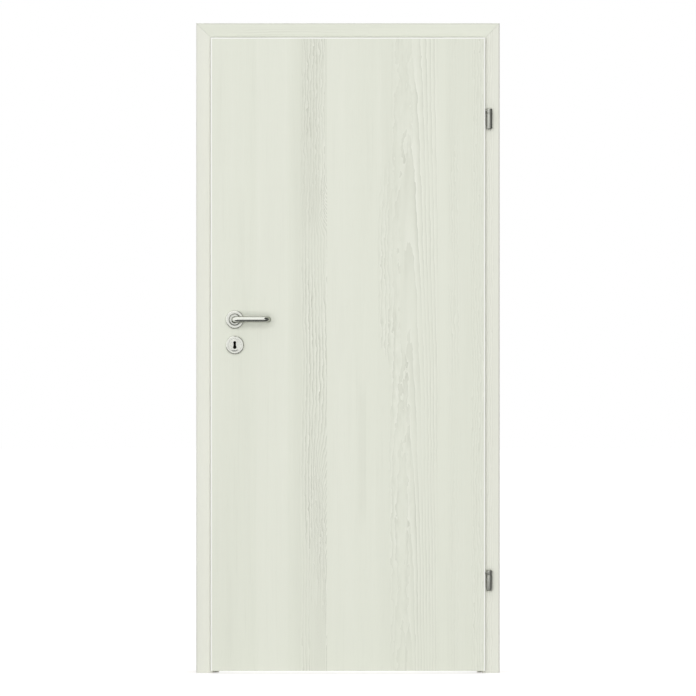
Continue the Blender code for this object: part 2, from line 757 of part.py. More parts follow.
def rose_profile(inner_radius):
    """Rose from its bore to its rounded rim, as (radius, height) up from the leaf."""
    rim = arc(
        (ROSE_RADIUS - ROSE_RIM_RADIUS, ROSE_HEIGHT - ROSE_RIM_RADIUS),
        ROSE_RIM_RADIUS,
        90,
        0,
        CORNER_STEPS,
    )
    return [(inner_radius, ROSE_HEIGHT)] + rim + [(ROSE_RADIUS, SEAT_GAP), (inner_radius, SEAT_GAP)]


def lever_stations():
    """Centre line and radius of the lever, as (reach, projection, turn in degrees, radius)."""
    collar = COLLAR_RADIUS
    neck = LEVER_RADIUS + LEVER_NECK_SWELL
    edge = COLLAR_EDGE_RADIUS
    fillet = NECK_FILLET_RADIUS
    stations = [(0.0, LEVER_FOOT_GAP, 0.0, collar)]
    rounded_edge = arc((collar - edge, COLLAR_HEIGHT - edge), edge, 0, 90, EDGE_STEPS)
    rounded_root = arc((neck + fillet, COLLAR_HEIGHT + fillet), fillet, 270, 180, EDGE_STEPS)
    for across, up in rounded_edge + rounded_root:
        stations.append((0.0, up, 0.0, across))
    bend_start = LEVER_PROJECTION - LEVER_BEND_RADIUS
    for step in range(BEND_STEPS + 1):
        turn = 90 * step / BEND_STEPS
        angle = math.radians(turn)
        reach = LEVER_BEND_RADIUS * (1 - math.cos(angle))
        projection = bend_start + LEVER_BEND_RADIUS * math.sin(angle)
        stations.append((reach, projection, turn, neck))
    middle = LEVER_REACH / 2
    stations.append((middle, LEVER_PROJECTION, 90.0, LEVER_RADIUS))
    for step in range(BEND_STEPS + 1):
        turn = 90 * step / BEND_STEPS
        angle = math.radians(turn)
        reach = LEVER_REACH - LEVER_BEND_RADIUS * (1 - math.sin(angle))
        projection = bend_start + LEVER_BEND_RADIUS * math.cos(angle)
        stations.append((reach, projection, 90 + turn, LEVER_RADIUS))
    tip_centre = (LEVER_RADIUS - LEVER_TIP_RADIUS, LEVER_TIP_GAP + LEVER_TIP_RADIUS)
    for across, down in arc(tip_centre, LEVER_TIP_RADIUS, 0, -90, EDGE_STEPS):
        stations.append((LEVER_REACH, down, 180.0, across))
    return stations


def lever_mesh(outward):
    """The lever on one face of the leaf. Outward is -1 on the front and 1 on the rear."""
    surface = LEAF_FRONT if outward < 0 else LEAF_BACK
    rings = []
    for reach, projection, turn, radius in lever_stations():
        angle = math.radians(turn)
        middle = Vector((SPINDLE_X + reach, surface + outward * projection, SPINDLE_Z))
        across = Vector((math.cos(angle), -outward * math.sin(angle), 0.0))
        rings.append([
            middle + (across * math.cos(step) + Vector((0, 0, math.sin(step)))) * radius
            for step in (2 * math.pi * i / LEVER_SIDES for i in range(LEVER_SIDES))
        ])
    return loft_mesh(rings)


def build_handles(steel, polished, leaf_axis, lever_axis):
    """Levers on their spindle, with a lever rose and a key rose on each face."""
    half = SPINDLE_SIDE / 2
    spindle_end = LEVER_PROJECTION - LEVER_BEND_RADIUS
    spindle = box_mesh(
        (SPINDLE_X - half, LEAF_FRONT - spindle_end, SPINDLE_Z - half),
        (SPINDLE_X + half, LEAF_BACK + spindle_end, SPINDLE_Z + half),
    )
    place(spindle, "spindle", steel, lever_axis)
    socket_half = half + SPINDLE_CLEARANCE
    socket_end = spindle_end + SEAT_GAP
    socket = place(
        box_mesh(
            (SPINDLE_X - socket_half, LEAF_FRONT - socket_end, SPINDLE_Z - socket_half),
            (SPINDLE_X + socket_half, LEAF_BACK + socket_end, SPINDLE_Z + socket_half),
        ),
        "spindle_socket_cutter",
        carrier=lever_axis,
    )
    for face, outward, surface in (("front", -1, LEAF_FRONT), ("rear", 1, LEAF_BACK)):
        lever = place(lever_mesh(outward), f"{face}_lever", polished, lever_axis, smooth=True)
        cut(lever, socket)
        build_roses(face, outward, surface, polished, leaf_axis)


def build_roses(face, outward, surface, metal, leaf_axis):
    """Lever rose and key rose on one face."""
    axis = (0, outward, 0)
    lever_rose = turned_mesh(
        rose_profile(ROSE_BORE_RADIUS),
        (SPINDLE_X, surface, SPINDLE_Z),
        axis,
        FINE_SIDES,
        endless=True,
    )
    place(lever_rose, f"{face}_lever_rose", metal, leaf_axis, smooth=True)

    centre_z = SPINDLE_Z - KEY_ROSE_BELOW_SPINDLE
    top = ROSE_HEIGHT - KEY_ROSE_STEP_HEIGHT
    profile = [(KEY_ROSE_STEP_RADIUS, top), (KEY_ROSE_STEP_RADIUS, ROSE_HEIGHT)]
    profile += rose_profile(KEY_ROSE_STEP_RADIUS)[1:-1]
    key_rose = place(
        turned_mesh(profile, (SPINDLE_X, surface, centre_z), axis, FINE_SIDES),
        f"{face}_key_rose",
        metal,
        leaf_axis,
        smooth=True,
    )
    straight = KEY_COLLAR_HALF_HEIGHT - KEY_COLLAR_HALF_WIDTH
    upper = arc((SPINDLE_X, centre_z + straight), KEY_COLLAR_HALF_WIDTH, 0, 180, BEND_STEPS)
    lower = arc((SPINDLE_X, centre_z - straight), KEY_COLLAR_HALF_WIDTH, 180, 360, BEND_STEPS)
    inner = surface + outward * (top - KEY_COLLAR_ROOT)
    outer = surface + outward * (top + KEY_COLLAR_PROUD)
    oval = through_mesh(upper + lower, inner, outer)
    collar = place(oval, f"{face}_key_collar", carrier=leaf_axis)
    reach = ROSE_HEIGHT + CUT_OVERRUN
    hole = through_mesh(keyhole_outline(0.0), surface - reach, surface + reach)
    keyhole = place(hole, f"{face}_keyhole_cutter", carrier=leaf_axis)
    combine(key_rose, collar, "UNION")
    cut(key_rose, keyhole)


def main():
    """Build the whole door."""
    clear_scene()
    decor = make_material("white_wood_decor", (0.74, 0.76, 0.67), 0.45)
    chipboard = make_material("chipboard", (0.52, 0.38, 0.22), 0.85)
    rubber = make_material("seal_rubber", (0.55, 0.56, 0.52), 0.75)
    steel = make_material("zinc_plated_steel", (0.60, 0.60, 0.58), 0.35, 1.0)
    polished = make_material("polished_handle_metal", (0.78, 0.78, 0.76), 0.15, 1.0)

    leaf_axis = make_axis("leaf_axis", (HINGE_AXIS_X, HINGE_AXIS_Y, 0.0))
    lever_axis = make_axis("lever_axis", (SPINDLE_X, LEAF_MIDDLE, SPINDLE_Z), leaf_axis)
    architraves = build_frame(decor, rubber)
    holes = lock_holes(leaf_axis)
    hinge_stile, lock_stile = build_leaf(decor, chipboard, holes, leaf_axis)
    build_lock(steel, lock_stile, holes, leaf_axis)
    build_strike_plate(steel, architraves["lock"])
    for name, centre_z in (
        ("upper", LEAF_TOP - UPPER_HINGE_FROM_LEAF_TOP),
        ("lower", LOWER_HINGE_ABOVE_FLOOR),
    ):
        build_hinge(name, centre_z, polished, hinge_stile, architraves["hinge"], leaf_axis)
    build_handles(steel, polished, leaf_axis, lever_axis)


main()
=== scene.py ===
"""Looks of the interior door: a white-cream decor leaf in its casing frame, with polished fittings.

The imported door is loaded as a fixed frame. Each class below dresses one sub-assembly: it makes the
finer surfaces of its pieces, in metres and in the frame's own axes, and gives each its finish. +X
points to the hinge side, +Y through the doorway and away from the viewer, and +Z up.
"""

import logging
import math
from dataclasses import dataclass
from enum import Enum

import bpy
import numpy as np
from bpy.types import Material, NodeSocket, NodeTree, Object
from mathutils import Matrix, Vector


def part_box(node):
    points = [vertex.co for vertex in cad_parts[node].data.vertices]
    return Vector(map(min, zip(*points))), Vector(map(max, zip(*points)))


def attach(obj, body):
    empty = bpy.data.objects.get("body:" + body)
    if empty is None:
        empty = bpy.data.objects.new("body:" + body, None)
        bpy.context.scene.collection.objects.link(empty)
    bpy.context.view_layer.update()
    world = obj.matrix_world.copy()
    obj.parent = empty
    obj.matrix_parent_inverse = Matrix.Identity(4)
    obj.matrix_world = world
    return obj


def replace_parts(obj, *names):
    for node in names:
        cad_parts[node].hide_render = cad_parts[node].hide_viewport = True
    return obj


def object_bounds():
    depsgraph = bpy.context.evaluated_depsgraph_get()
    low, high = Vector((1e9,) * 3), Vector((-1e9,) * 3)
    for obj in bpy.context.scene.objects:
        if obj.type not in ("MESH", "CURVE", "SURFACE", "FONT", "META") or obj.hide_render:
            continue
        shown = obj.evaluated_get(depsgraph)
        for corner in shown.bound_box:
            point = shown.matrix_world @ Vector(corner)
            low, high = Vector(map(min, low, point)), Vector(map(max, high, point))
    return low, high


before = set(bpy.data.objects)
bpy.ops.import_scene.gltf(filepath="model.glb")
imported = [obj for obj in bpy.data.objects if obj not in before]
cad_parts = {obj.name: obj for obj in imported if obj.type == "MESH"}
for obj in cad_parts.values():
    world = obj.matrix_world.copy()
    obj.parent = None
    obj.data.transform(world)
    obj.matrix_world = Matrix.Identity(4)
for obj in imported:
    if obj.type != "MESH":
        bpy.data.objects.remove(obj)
cad_low, cad_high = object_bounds()

LOG = logging.getLogger("interior_door")
WELD_DISTANCE = 1e-6
SMOOTH_ANGLE = math.radians(32)
BEVEL_ANGLE = math.radians(50)
FACING = 0.99
DOWN = Vector((0, 0, -1))
QUARTER_STEPS = 24
WHITE = (1.0, 1.0, 1.0, 1.0)
BLACK = (0.0, 0.0, 0.0, 1.0)

# Places along the grain that lie outside the door, for what runs from end to end
BELOW_DOOR = -1.0
ABOVE_DOOR = 3.0

# The photograph's frame and the lines of the door in it, in pixels
PHOTO_SIDE = 696.0
FRAME_LEFT_PX = 197.35
FRAME_RIGHT_PX = 498.57
FRAME_TOP_PX = 22.0
FRAME_BOTTOM_PX = 674.0

Pair = tuple[float, float]
Triple = tuple[float, float, float]
Colour = Triple | NodeSocket
Skin = tuple[np.ndarray, list[list[int]]]


class Grain(Enum):
    """Which way the decor's grain runs."""

    UPRIGHT = "upright"
    ACROSS = "across"


class Side(Enum):
    """The side of the leaf that a fitting is on, as the sign of its outward direction along Y."""

    FRONT = -1
    REAR = 1


class Signal:
    """One number, worked out at each point of a surface, with sums of it written as formulas."""

    def __init__(self, tree: NodeTree, socket: NodeSocket) -> None:
        """Hold one output socket.

        Args:
            tree: The material's node tree.
            socket: The output that carries the number.
        """
        self.tree = tree
        self.socket = socket

    def _math(self, operation: str, *others: "Signal | float", clamp: bool = False) -> "Signal":
        """Run a Math node on this number and up to two others.

        Args:
            operation: The Math node's operation.
            others: Its second and third operands.
            clamp: Keep the result between 0 and 1.

        Returns:
            The result.
        """
        node = self.tree.nodes.new("ShaderNodeMath")
        node.operation = operation
        node.use_clamp = clamp
        self.tree.links.new(self.socket, node.inputs[0])
        for index, other in enumerate(others, start=1):
            if isinstance(other, Signal):
                self.tree.links.new(other.socket, node.inputs[index])
            else:
                node.inputs[index].default_value = other
        return Signal(self.tree, node.outputs[0])

    def __add__(self, other: "Signal | float") -> "Signal":
        """Sum."""
        return self._math("ADD", other)

    def __sub__(self, other: "Signal | float") -> "Signal":
        """Difference."""
        return self._math("SUBTRACT", other)

    def __mul__(self, other: "Signal | float") -> "Signal":
        """Product."""
        return self._math("MULTIPLY", other)

    def power(self, exponent: float) -> "Signal":
        """This number to a power."""
        return self._math("POWER", exponent)

    def root(self) -> "Signal":
        """Square root."""
        return self._math("SQRT")

    def fraction(self) -> "Signal":
        """The part after the decimal point."""
        return self._math("FRACT")

    def absolute(self) -> "Signal":
        """Size without the sign."""
        return self._math("ABSOLUTE")

    def larger(self, other: "Signal | float") -> "Signal":
        """The larger of two numbers."""
        return self._math("MAXIMUM", other)

    def rest(self) -> "Signal":
        """What is left up to 1."""
        return self._math("MULTIPLY_ADD", -1.0, 1.0)

    def clamped(self) -> "Signal":
        """This number kept between 0 and 1."""
        return self._math("ADD", 0.0, clamp=True)

    def step(self, low: float, high: float) -> "Signal":
        """A smooth rise from 0 at low to 1 at high, or a fall where low is above high."""
        node = self.tree.nodes.new("ShaderNodeMapRange")
        node.interpolation_type = "SMOOTHSTEP"
        self.tree.links.new(self.socket, node.inputs["Value"])
        rising = low < high
        node.inputs["From Min"].default_value = min(low, high)
        node.inputs["From Max"].default_value = max(low, high)
        node.inputs["To Min"].default_value = 0.0 if rising else 1.0
        node.inputs["To Max"].default_value = 1.0 if rising else 0.0
        return Signal(self.tree, node.outputs["Result"])

    def band(self, low: float, high: float, soft_low: float, soft_high: float) -> "Signal":
        """1 between low and high, fading to 0 over the two soft widths.

        Args:
            low: Where the band starts.
            high: Where it ends.
            soft_low: Width of the fade at the start.
            soft_high: Width of the fade at the end.

        Returns:
            The band's strength.
        """
        return self.step(low - soft_low, low) * self.step(high + soft_high, high)


class Shader:
    """A Principled material under construction."""

    def __init__(self, name: str, metallic: float = 0.0) -> None:
        """Start a material.

        Args:
            name: The material's name.
            metallic: 1 for bare metal.
        """
        self.material = bpy.data.materials.new(name)
        self.material.use_nodes = True
        self.tree = self.material.node_tree
        self.principled = self.tree.nodes["Principled BSDF"]
        self.principled.inputs["Metallic"].default_value = metallic
        coordinates = self.tree.nodes.new("ShaderNodeTexCoord")
        self.place = coordinates.outputs["Object"]
        separate = self.tree.nodes.new("ShaderNodeSeparateXYZ")
        self.tree.links.new(self.place, separate.inputs[0])
        self.x, self.y, self.z = (Signal(self.tree, output) for output in separate.outputs)

    def set(self, name: str, value: float | tuple) -> None:
        """Set a socket that is the same all over the surface."""
        self.principled.inputs[name].default_value = value

    def combine(self, x: Signal | float, y: Signal | float, z: Signal | float) -> NodeSocket:
        """A place made from three numbers."""
        node = self.tree.nodes.new("ShaderNodeCombineXYZ")
        for index, value in enumerate((x, y, z)):
            if isinstance(value, Signal):
                self.tree.links.new(value.socket, node.inputs[index])
            else:
                node.inputs[index].default_value = value
        return node.outputs[0]

    def noise(
        self, place: NodeSocket, scale: float, detail: float = 2.0, roughness: float = 0.5
    ) -> Signal:
        """Cloudy noise between 0 and 1.

        Args:
            place: Where it is read.
            scale: Number of clouds per metre of that place.
            detail: Finer layers on top of the first.
            roughness: Strength of each finer layer.

        Returns:
            The noise.
        """
        node = self.tree.nodes.new("ShaderNodeTexNoise")
        self.tree.links.new(place, node.inputs["Vector"])
        node.inputs["Scale"].default_value = scale
        node.inputs["Detail"].default_value = detail
        node.inputs["Roughness"].default_value = roughness
        return Signal(self.tree, node.outputs[0])

    def cells(self, place: NodeSocket, scale: float) -> Signal:
        """A random number for each of many cells.

        Args:
            place: Where they are read.
            scale: Cells per metre.

        Returns:
            The number, between 0 and 1.
        """
        node = self.tree.nodes.new("ShaderNodeTexVoronoi")
        self.tree.links.new(place, node.inputs["Vector"])
        node.inputs["Scale"].default_value = scale
        separate = self.tree.nodes.new("ShaderNodeSeparateColor")
        self.tree.links.new(node.outputs["Color"], separate.inputs[0])
        return Signal(self.tree, separate.outputs[0])

    def blend(self, amount: Signal, first: Colour, second: Colour) -> NodeSocket:
        """Mix two colours.

        Args:
            amount: 0 gives the first and 1 the second.
            first: A colour or a colour socket.
            second: A colour or a colour socket.

        Returns:
            The mixed colour.
        """
        node = self.tree.nodes.new("ShaderNodeMix")
        node.data_type = "RGBA"
        self.tree.links.new(amount.socket, node.inputs["Factor"])
        colours = [socket for socket in node.inputs if socket.type == "RGBA"]
        for socket, colour in zip(colours, (first, second)):
            if isinstance(colour, tuple):
                socket.default_value = (*colour, 1.0)
            else:
                self.tree.links.new(colour, socket)
        return next(socket for socket in node.outputs if socket.type == "RGBA")

    def finish(
        self, colour: NodeSocket, roughness: Signal, relief: Signal, relief_depth: float
    ) -> Material:
        """Link the patterns to the shader.

        Args:
            colour: Colour pattern.
            roughness: Roughness pattern.
            relief: Height pattern.
            relief_depth: Height in metres of a relief of 1.

        Returns:
            The material.
        """
        inputs = self.principled.inputs
        self.tree.links.new(colour, inputs["Base Color"])
        self.tree.links.new(roughness.socket, inputs["Roughness"])
        bump = self.tree.nodes.new("ShaderNodeBump")
        bump.inputs["Strength"].default_value = 1.0
        bump.inputs["Distance"].default_value = relief_depth
        self.tree.links.new(relief.socket, bump.inputs["Height"])
        self.tree.links.new(bump.outputs["Normal"], inputs["Normal"])
        return self.material


@dataclass(frozen=True)
class Tone:
    """How the high places of a noise show, or its low places where full lies below start.

    Attributes:
        start: Where in the noise they start to show.
        full: Where they show fully.
        strength: How strongly.
    """

    start: float
    full: float
    strength: float

    def of(self, noise: Signal) -> Signal:
        """The share of the noise that shows."""
        return noise.step(self.start, self.full) * self.strength


@dataclass(frozen=True)
class Cloud:
    """A cloudy noise on a board, drawn out along its grain.

    Attributes:
        across: Clouds per metre across the grain.
        along: Clouds per metre along it.
        detail: Finer layers on top of the first.
        roughness: Strength of each finer layer.
        place: Where in the noise it is read, from the board's own place.
        through: The clouds also change through the board, so that its edges show them.
    """

    across: float
    along: float
    detail: float = 2.0
    roughness: float = 0.5
    place: float = 0.0
    through: bool = False


@dataclass(frozen=True)
class Board:
    """Places on a board, measured by its grain.

    Attributes:
        shader: The material that is being made.
        across: Place across the grain.
        along: Place along it.
        seed: Place in the noise that the board is read from.
    """

    shader: Shader
    across: Signal
    along: Signal
    seed: float

    def cloud(self, cloud: Cloud) -> Signal:
        """A cloudy noise on the board.

        Args:
            cloud: Its size and place.

        Returns:
            The noise, between 0 and 1.
        """
        spread, run = self.across * cloud.across, self.along * cloud.along
        start = self.seed + cloud.place
        depth = self.shader.y * cloud.across + start if cloud.through else start
        place = self.shader.combine(spread, run, depth)
        return self.shader.noise(place, 1.0, cloud.detail, cloud.roughness)

    def slow(self, rate: float, start: float) -> Signal:
        """A slow change along the grain alone.

        Args:
            rate: Changes per metre.
            start: Where in the noise it is read, from the board's own place.

        Returns:
            The change, round 0.
        """
        place = self.shader.combine(self.seed + start, self.along * rate, 0.0)
        return self.shader.noise(place, 1.0, 1.0) - 0.5


@dataclass(frozen=True)
class Plank:
    """One strip of the decor, cut lengthwise from a log, whose growth rings show as lines.

    Attributes:
        centre: Place of the log's heart across the grain, from the doorway's middle.
        low: Where the strip's lines start across the grain.
        high: Where they end.
        soft_low: Width over which they fade in.
        soft_high: Width over which they fade out.
        pitch: Distance between two rings.
        depth: Distance of the heart behind the face, at the floor.
        rise: Growth of that distance per metre, which closes the rings into upward tongues.
        wave: How far that distance wavers.
        strength: How dark its lines are.
        sharpness: Power that narrows the lines.
        sway: Slow sideways drift of the lines, in pitches.
        wobble: Crookedness of the lines, in pitches.
        crackle: Short waves that break the lines into strokes, in pitches.
        leans: Stretches (low, high, shift) along which the lines run slantwise to the far edge.
        moves: Stretches (low, high, shift) along which the whole strip moves sideways.
        foot: Height from which the lines have their full strength.
        top: Height up to which they have it.
        beyond: Share of the strength that is left outside that stretch.
    """

    centre: float
    low: float
    high: float
    soft_low: float
    soft_high: float
    pitch: float
    depth: float
    rise: float
    wave: float
    strength: float
    sharpness: float = 3.0
    sway: float = 2.0
    wobble: float = 1.4
    crackle: float = 0.6
    leans: tuple[Triple, ...] = ()
    moves: tuple[Triple, ...] = ()
    foot: float = BELOW_DOOR
    top: float = ABOVE_DOOR
    beyond: float = 0.0


@dataclass(frozen=True)
class Streak:
    """A soft darker, or paler, strip of the decor's ground.

    Attributes:
        low: Where it starts across the grain.
        high: Where it ends.
        soft_low: Width over which it fades in.
        soft_high: Width over which it fades out.
        strength: How much darker, or paler below zero.
        foot: Where it starts along the grain.
        top: Where it ends.
        fade: Length over which it fades at both ends.
    """

    low: float
    high: float
    soft_low: float
    soft_high: float
    strength: float
    foot: float = BELOW_DOOR
    top: float = ABOVE_DOOR
    fade: float = 0.05


@dataclass(frozen=True)
class Waver:
    """Noises that all planks of a board share, all but the last round 0.

    Attributes:
        drift: Slow sideways drift of the lines along the grain.
        wave: Slow change of the heart's depth.
        wobble: Crookedness of the lines.
        crackle: Short waves that break them into strokes.
        patch: Strength of the lines from place to place, up to 1.
    """

    drift: Signal
    wave: Signal
    wobble: Signal
    crackle: Signal
    patch: Signal


@dataclass(frozen=True)
class WoodDecor:
    """White-cream wood decor film: pale ground, growth lines, fine pores and a satin surface.

    Attributes:
        name: The material's name.
        grain: Which way the grain runs.
        middle: World place, across the grain, that the planks are measured from.
        planks: The strips with strong lines.
        streaks: The soft darker or paler strips.
        highlight_half: Half of the leaf's width, where a painted highlight runs along its lips, on a
            paler edging film.
        highlight_top: Height of the leaf's top edge, which the painted highlight also follows.
        ground: Colour of the plain ground.
        shade: Colour of the darkest lines.
        light: Colour of the lightest streaks.
        fine: Strength of the fine grain.
        seed: Place in the noise that this board is read from.
    """

    name: str
    grain: Grain
    middle: float
    planks: tuple[Plank, ...]
    streaks: tuple[Streak, ...] = ()
    highlight_half: float | None = None
    highlight_top: float = 0.0
    ground: Triple = (0.758, 0.778, 0.680)
    shade: Triple = (0.480, 0.490, 0.410)
    light: Triple = (0.890, 0.895, 0.820)
    fine: float = 1.0
    seed: float = 0.0

    # Noises of the ground, then those that vary the planks' lines
    BROAD = Cloud(6.5, 0.5, 2.0, 0.45)
    VEIL = Cloud(34.0, 1.5, 3.0, 0.55, 5.0)
    FIBRE = Cloud(420.0, 9.0, 3.0, 0.6, 0.0, True)
    STREAK = Cloud(110.0, 2.6, 3.0, 0.6, 9.0, True)
    PORE = Cloud(900.0, 26.0, 1.0, 0.5, 2.0, True)
    PATCH = Cloud(16.0, 2.4, place=11.0)
    WOBBLE = Cloud(22.0, 4.0)
    CRACKLE = Cloud(90.0, 24.0, place=23.0)
    DRIFT_RATE, DRIFT_START = 1.3, 4.0
    WAVE_RATE, WAVE_START = 1.7, 17.0

    DARK_STREAK = Tone(0.54, 0.80, 0.08)
    DARK_FIBRE = Tone(0.50, 0.85, 0.07)
    DARK_BROAD = Tone(0.45, 0.80, 0.07)
    DARK_VEIL = Tone(0.50, 0.85, 0.07)
    PALE_STREAK = Tone(0.46, 0.22, 0.10)
    PALE_VEIL = Tone(0.45, 0.20, 0.08)
    PALE_BROAD = Tone(0.50, 0.25, 0.08)
    PORE_EDGES, PORE_DARKNESS = (0.60, 0.74), 0.06
    PATCH_EDGES, PATCH_SHARE = (0.34, 0.60), 0.7
    LINE_FADE = 0.12

    # Painted highlight along the leaf's lips and top edge: a pale band of this width, full over its
    # outer share, standing in for the light that the rounded edges catch
    HIGHLIGHT_BAND = 0.0040
    HIGHLIGHT_FULL = 0.75
    HIGHLIGHT_COLOUR = (0.97, 0.975, 0.94)

    SPECULAR = 0.45
    ROUGHNESS, FIBRE_ROUGHNESS, PORE_ROUGHNESS = 0.34, 0.14, 0.10
    FIBRE_RELIEF, STREAK_RELIEF, PORE_RELIEF, LINE_RELIEF = 0.35, 0.25, 0.6, 0.8
    RELIEF_DEPTH = 0.0001

    def _rings(self, plank: Plank, waver: Waver, board: Board) -> tuple[Signal, Signal]:
        """Growth rings of one plank.

        A ring's radius is the root of the squared distance from the heart across the grain plus
        the squared depth of the heart, which grows along the grain. Each ring darkens slowly
        outwards and ends sharply, so its dark line is a power of the radius's fraction, and the
        pale line beside it is the next higher power of what is left of that fraction.

        Args:
            plank: The plank.
            waver: The noises that the board's planks share.
            board: Places on the board.

        Returns:
            The strengths of the dark lines and of the pale lines.
        """
        pitch, across, along = plank.pitch, board.across, board.along
        offset = across - plank.centre + waver.drift * (pitch * plank.sway)
        for low, high, shift in plank.leans:
            offset = offset + along.step(low, high) * across.step(plank.low, plank.high) * shift
        depth = waver.wave * plank.wave + along * plank.rise + plank.depth
        radius = (offset * offset + depth * depth).root() + waver.wobble * (pitch * plank.wobble)
        radius = radius + waver.crackle * (pitch * plank.crackle)
        phase = (radius * (1.0 / pitch)).fraction()
        place = across
        for low, high, shift in plank.moves:
            place = place - along.step(low, high) * shift
        mask = (place + waver.drift * plank.soft_low).step(plank.low - plank.soft_low, plank.low)
        mask = mask * place.step(plank.high + plank.soft_high, plank.high) * waver.patch
        if plank.foot > BELOW_DOOR or plank.top < ABOVE_DOOR:
            reach = along.band(plank.foot, plank.top, self.LINE_FADE, self.LINE_FADE)
            mask = mask * (reach * (1.0 - plank.beyond) + plank.beyond)
        mask = mask * plank.strength
        return phase.power(plank.sharpness) * mask, phase.rest().power(plank.sharpness + 1.0) * mask

    def build(self) -> Material:
        """Make the material."""
        shader = Shader(self.name)
        if self.grain is Grain.UPRIGHT:
            board = Board(shader, shader.x - self.middle, shader.z, self.seed)
        else:
            board = Board(shader, shader.z - self.middle, shader.x, self.seed)
        across, along = board.across, board.along

        broad, veil = board.cloud(self.BROAD), board.cloud(self.VEIL)
        fibre, streak = board.cloud(self.FIBRE), board.cloud(self.STREAK)
        pore = board.cloud(self.PORE).step(*self.PORE_EDGES)
        dark = self.DARK_STREAK.of(streak) + self.DARK_FIBRE.of(fibre) + pore * self.PORE_DARKNESS
        dark = dark * self.fine + self.DARK_BROAD.of(broad) + self.DARK_VEIL.of(veil)
        pale = (self.PALE_STREAK.of(streak) + self.PALE_VEIL.of(veil)) * self.fine
        pale = pale + self.PALE_BROAD.of(broad)
        patch = board.cloud(self.PATCH)
        waver = Waver(
            drift=board.slow(self.DRIFT_RATE, self.DRIFT_START),
            wave=board.slow(self.WAVE_RATE, self.WAVE_START),
            wobble=board.cloud(self.WOBBLE) - 0.5,
            crackle=board.cloud(self.CRACKLE) - 0.5,
            patch=patch.step(*self.PATCH_EDGES) * self.PATCH_SHARE + (1.0 - self.PATCH_SHARE),
        )
        # A signal of 0, which the lines of each plank are added to
        lines = dark * 0.0
        for plank in self.planks:
            dark_lines, pale_lines = self._rings(plank, waver, board)
            lines = lines + dark_lines
            pale = pale + pale_lines
        for strip in self.streaks:
            inside = across.band(strip.low, strip.high, strip.soft_low, strip.soft_high)
            inside = inside * along.band(strip.foot, strip.top, strip.fade, strip.fade)
            if strip.strength > 0.0:
                dark = dark + inside * strip.strength
            else:
                pale = pale + inside * -strip.strength

        colour = shader.blend((dark + lines).clamped(), self.ground, self.shade)
        colour = shader.blend(pale.clamped(), colour, self.light)
        # Painted highlight: the pale band along the lips and the top edge of the leaf
        if self.highlight_half is not None:
            start, full = self.HIGHLIGHT_BAND, self.HIGHLIGHT_BAND * self.HIGHLIGHT_FULL
            band = across.absolute().step(self.highlight_half - start, self.highlight_half - full)
            band = band.larger(along.step(self.highlight_top - start, self.highlight_top - full))
            colour = shader.blend(band, colour, self.HIGHLIGHT_COLOUR)
        roughness = fibre * self.FIBRE_ROUGHNESS + pore * self.PORE_ROUGHNESS + self.ROUGHNESS
        relief = fibre * self.FIBRE_RELIEF + streak * self.STREAK_RELIEF
        relief = relief - pore * self.PORE_RELIEF - lines * self.LINE_RELIEF
        shader.set("Specular IOR Level", self.SPECULAR)
        return shader.finish(colour, roughness.clamped(), relief, self.RELIEF_DEPTH)


@dataclass(frozen=True)
class RawBoard:
    """Bare chipboard, on the faces that the wall or the floor hides.

    Attributes:
        name: The material's name.
        chip_scale: Chips per metre.
    """

    name: str
    chip_scale: float = 420.0

    FLATTER, LONGER = 1.6, 0.55
    DARK_CHIP, PALE_CHIP = (0.42, 0.29, 0.17), (0.62, 0.47, 0.30)
    DUST_SCALE, DUST_COLOUR, DUST = 1600.0, (0.27, 0.18, 0.10), Tone(0.55, 0.75, 0.5)
    ROUGHNESS, CHIP_ROUGHNESS = 0.75, 0.15
    CHIP_RELIEF, DUST_RELIEF, RELIEF_DEPTH = 0.6, 0.4, 0.0004

    def build(self) -> Material:
        """Make the material."""
        shader = Shader(self.name)
        place = shader.combine(shader.x, shader.y * self.FLATTER, shader.z * self.LONGER)
        chip = shader.cells(place, self.chip_scale)
        dust = shader.noise(shader.place, self.DUST_SCALE)
        colour = shader.blend(chip, self.DARK_CHIP, self.PALE_CHIP)
        colour = shader.blend(self.DUST.of(dust), colour, self.DUST_COLOUR)
        roughness = chip * self.CHIP_ROUGHNESS + self.ROUGHNESS
        relief = chip * self.CHIP_RELIEF + dust * self.DUST_RELIEF
        return shader.finish(colour, roughness, relief, self.RELIEF_DEPTH)


@dataclass(frozen=True)
class Metal:
    """Bare or plated metal with fine polishing marks and faint handling haze.

    Attributes:
        name: The material's name.
        colour: Reflected colour.
        roughness: Mean roughness.
        haze: How much the roughness varies.
        grit: Polishing marks per metre.
        mark_depth: Depth of the marks in metres.
        edge_tint: Reflected share at a glancing look.
    """

    name: str
    colour: Triple
    roughness: float
    haze: float
    grit: float
    mark_depth: float
    edge_tint: float = 1.0

    HANDLING_SCALE, HANDLING_DETAIL, LAYERS = 45.0, 3.0, 0.6
    MARK_LENGTH, MARK_SHARE = 0.15, 0.5
    DULL_SPOTS, DULLNESS = Tone(0.45, 0.85, 0.6), 0.86

    def build(self) -> Material:
        """Make the material."""
        shader = Shader(self.name, metallic=1.0)
        cloud = shader.noise(
            shader.place, self.HANDLING_SCALE, self.HANDLING_DETAIL, self.LAYERS
        )
        place = shader.combine(shader.x * self.MARK_LENGTH, shader.y, shader.z)
        marks = shader.noise(place, self.grit, roughness=self.LAYERS)
        dull = tuple(channel * self.DULLNESS for channel in self.colour)
        colour = shader.blend(self.DULL_SPOTS.of(cloud), self.colour, dull)
        haze = (cloud - 0.5) * self.haze + (marks - 0.5) * (self.haze * self.MARK_SHARE)
        shader.set("Specular Tint", (self.edge_tint, self.edge_tint, self.edge_tint, 1.0))
        return shader.finish(colour, (haze + self.roughness).clamped(), marks, self.mark_depth)


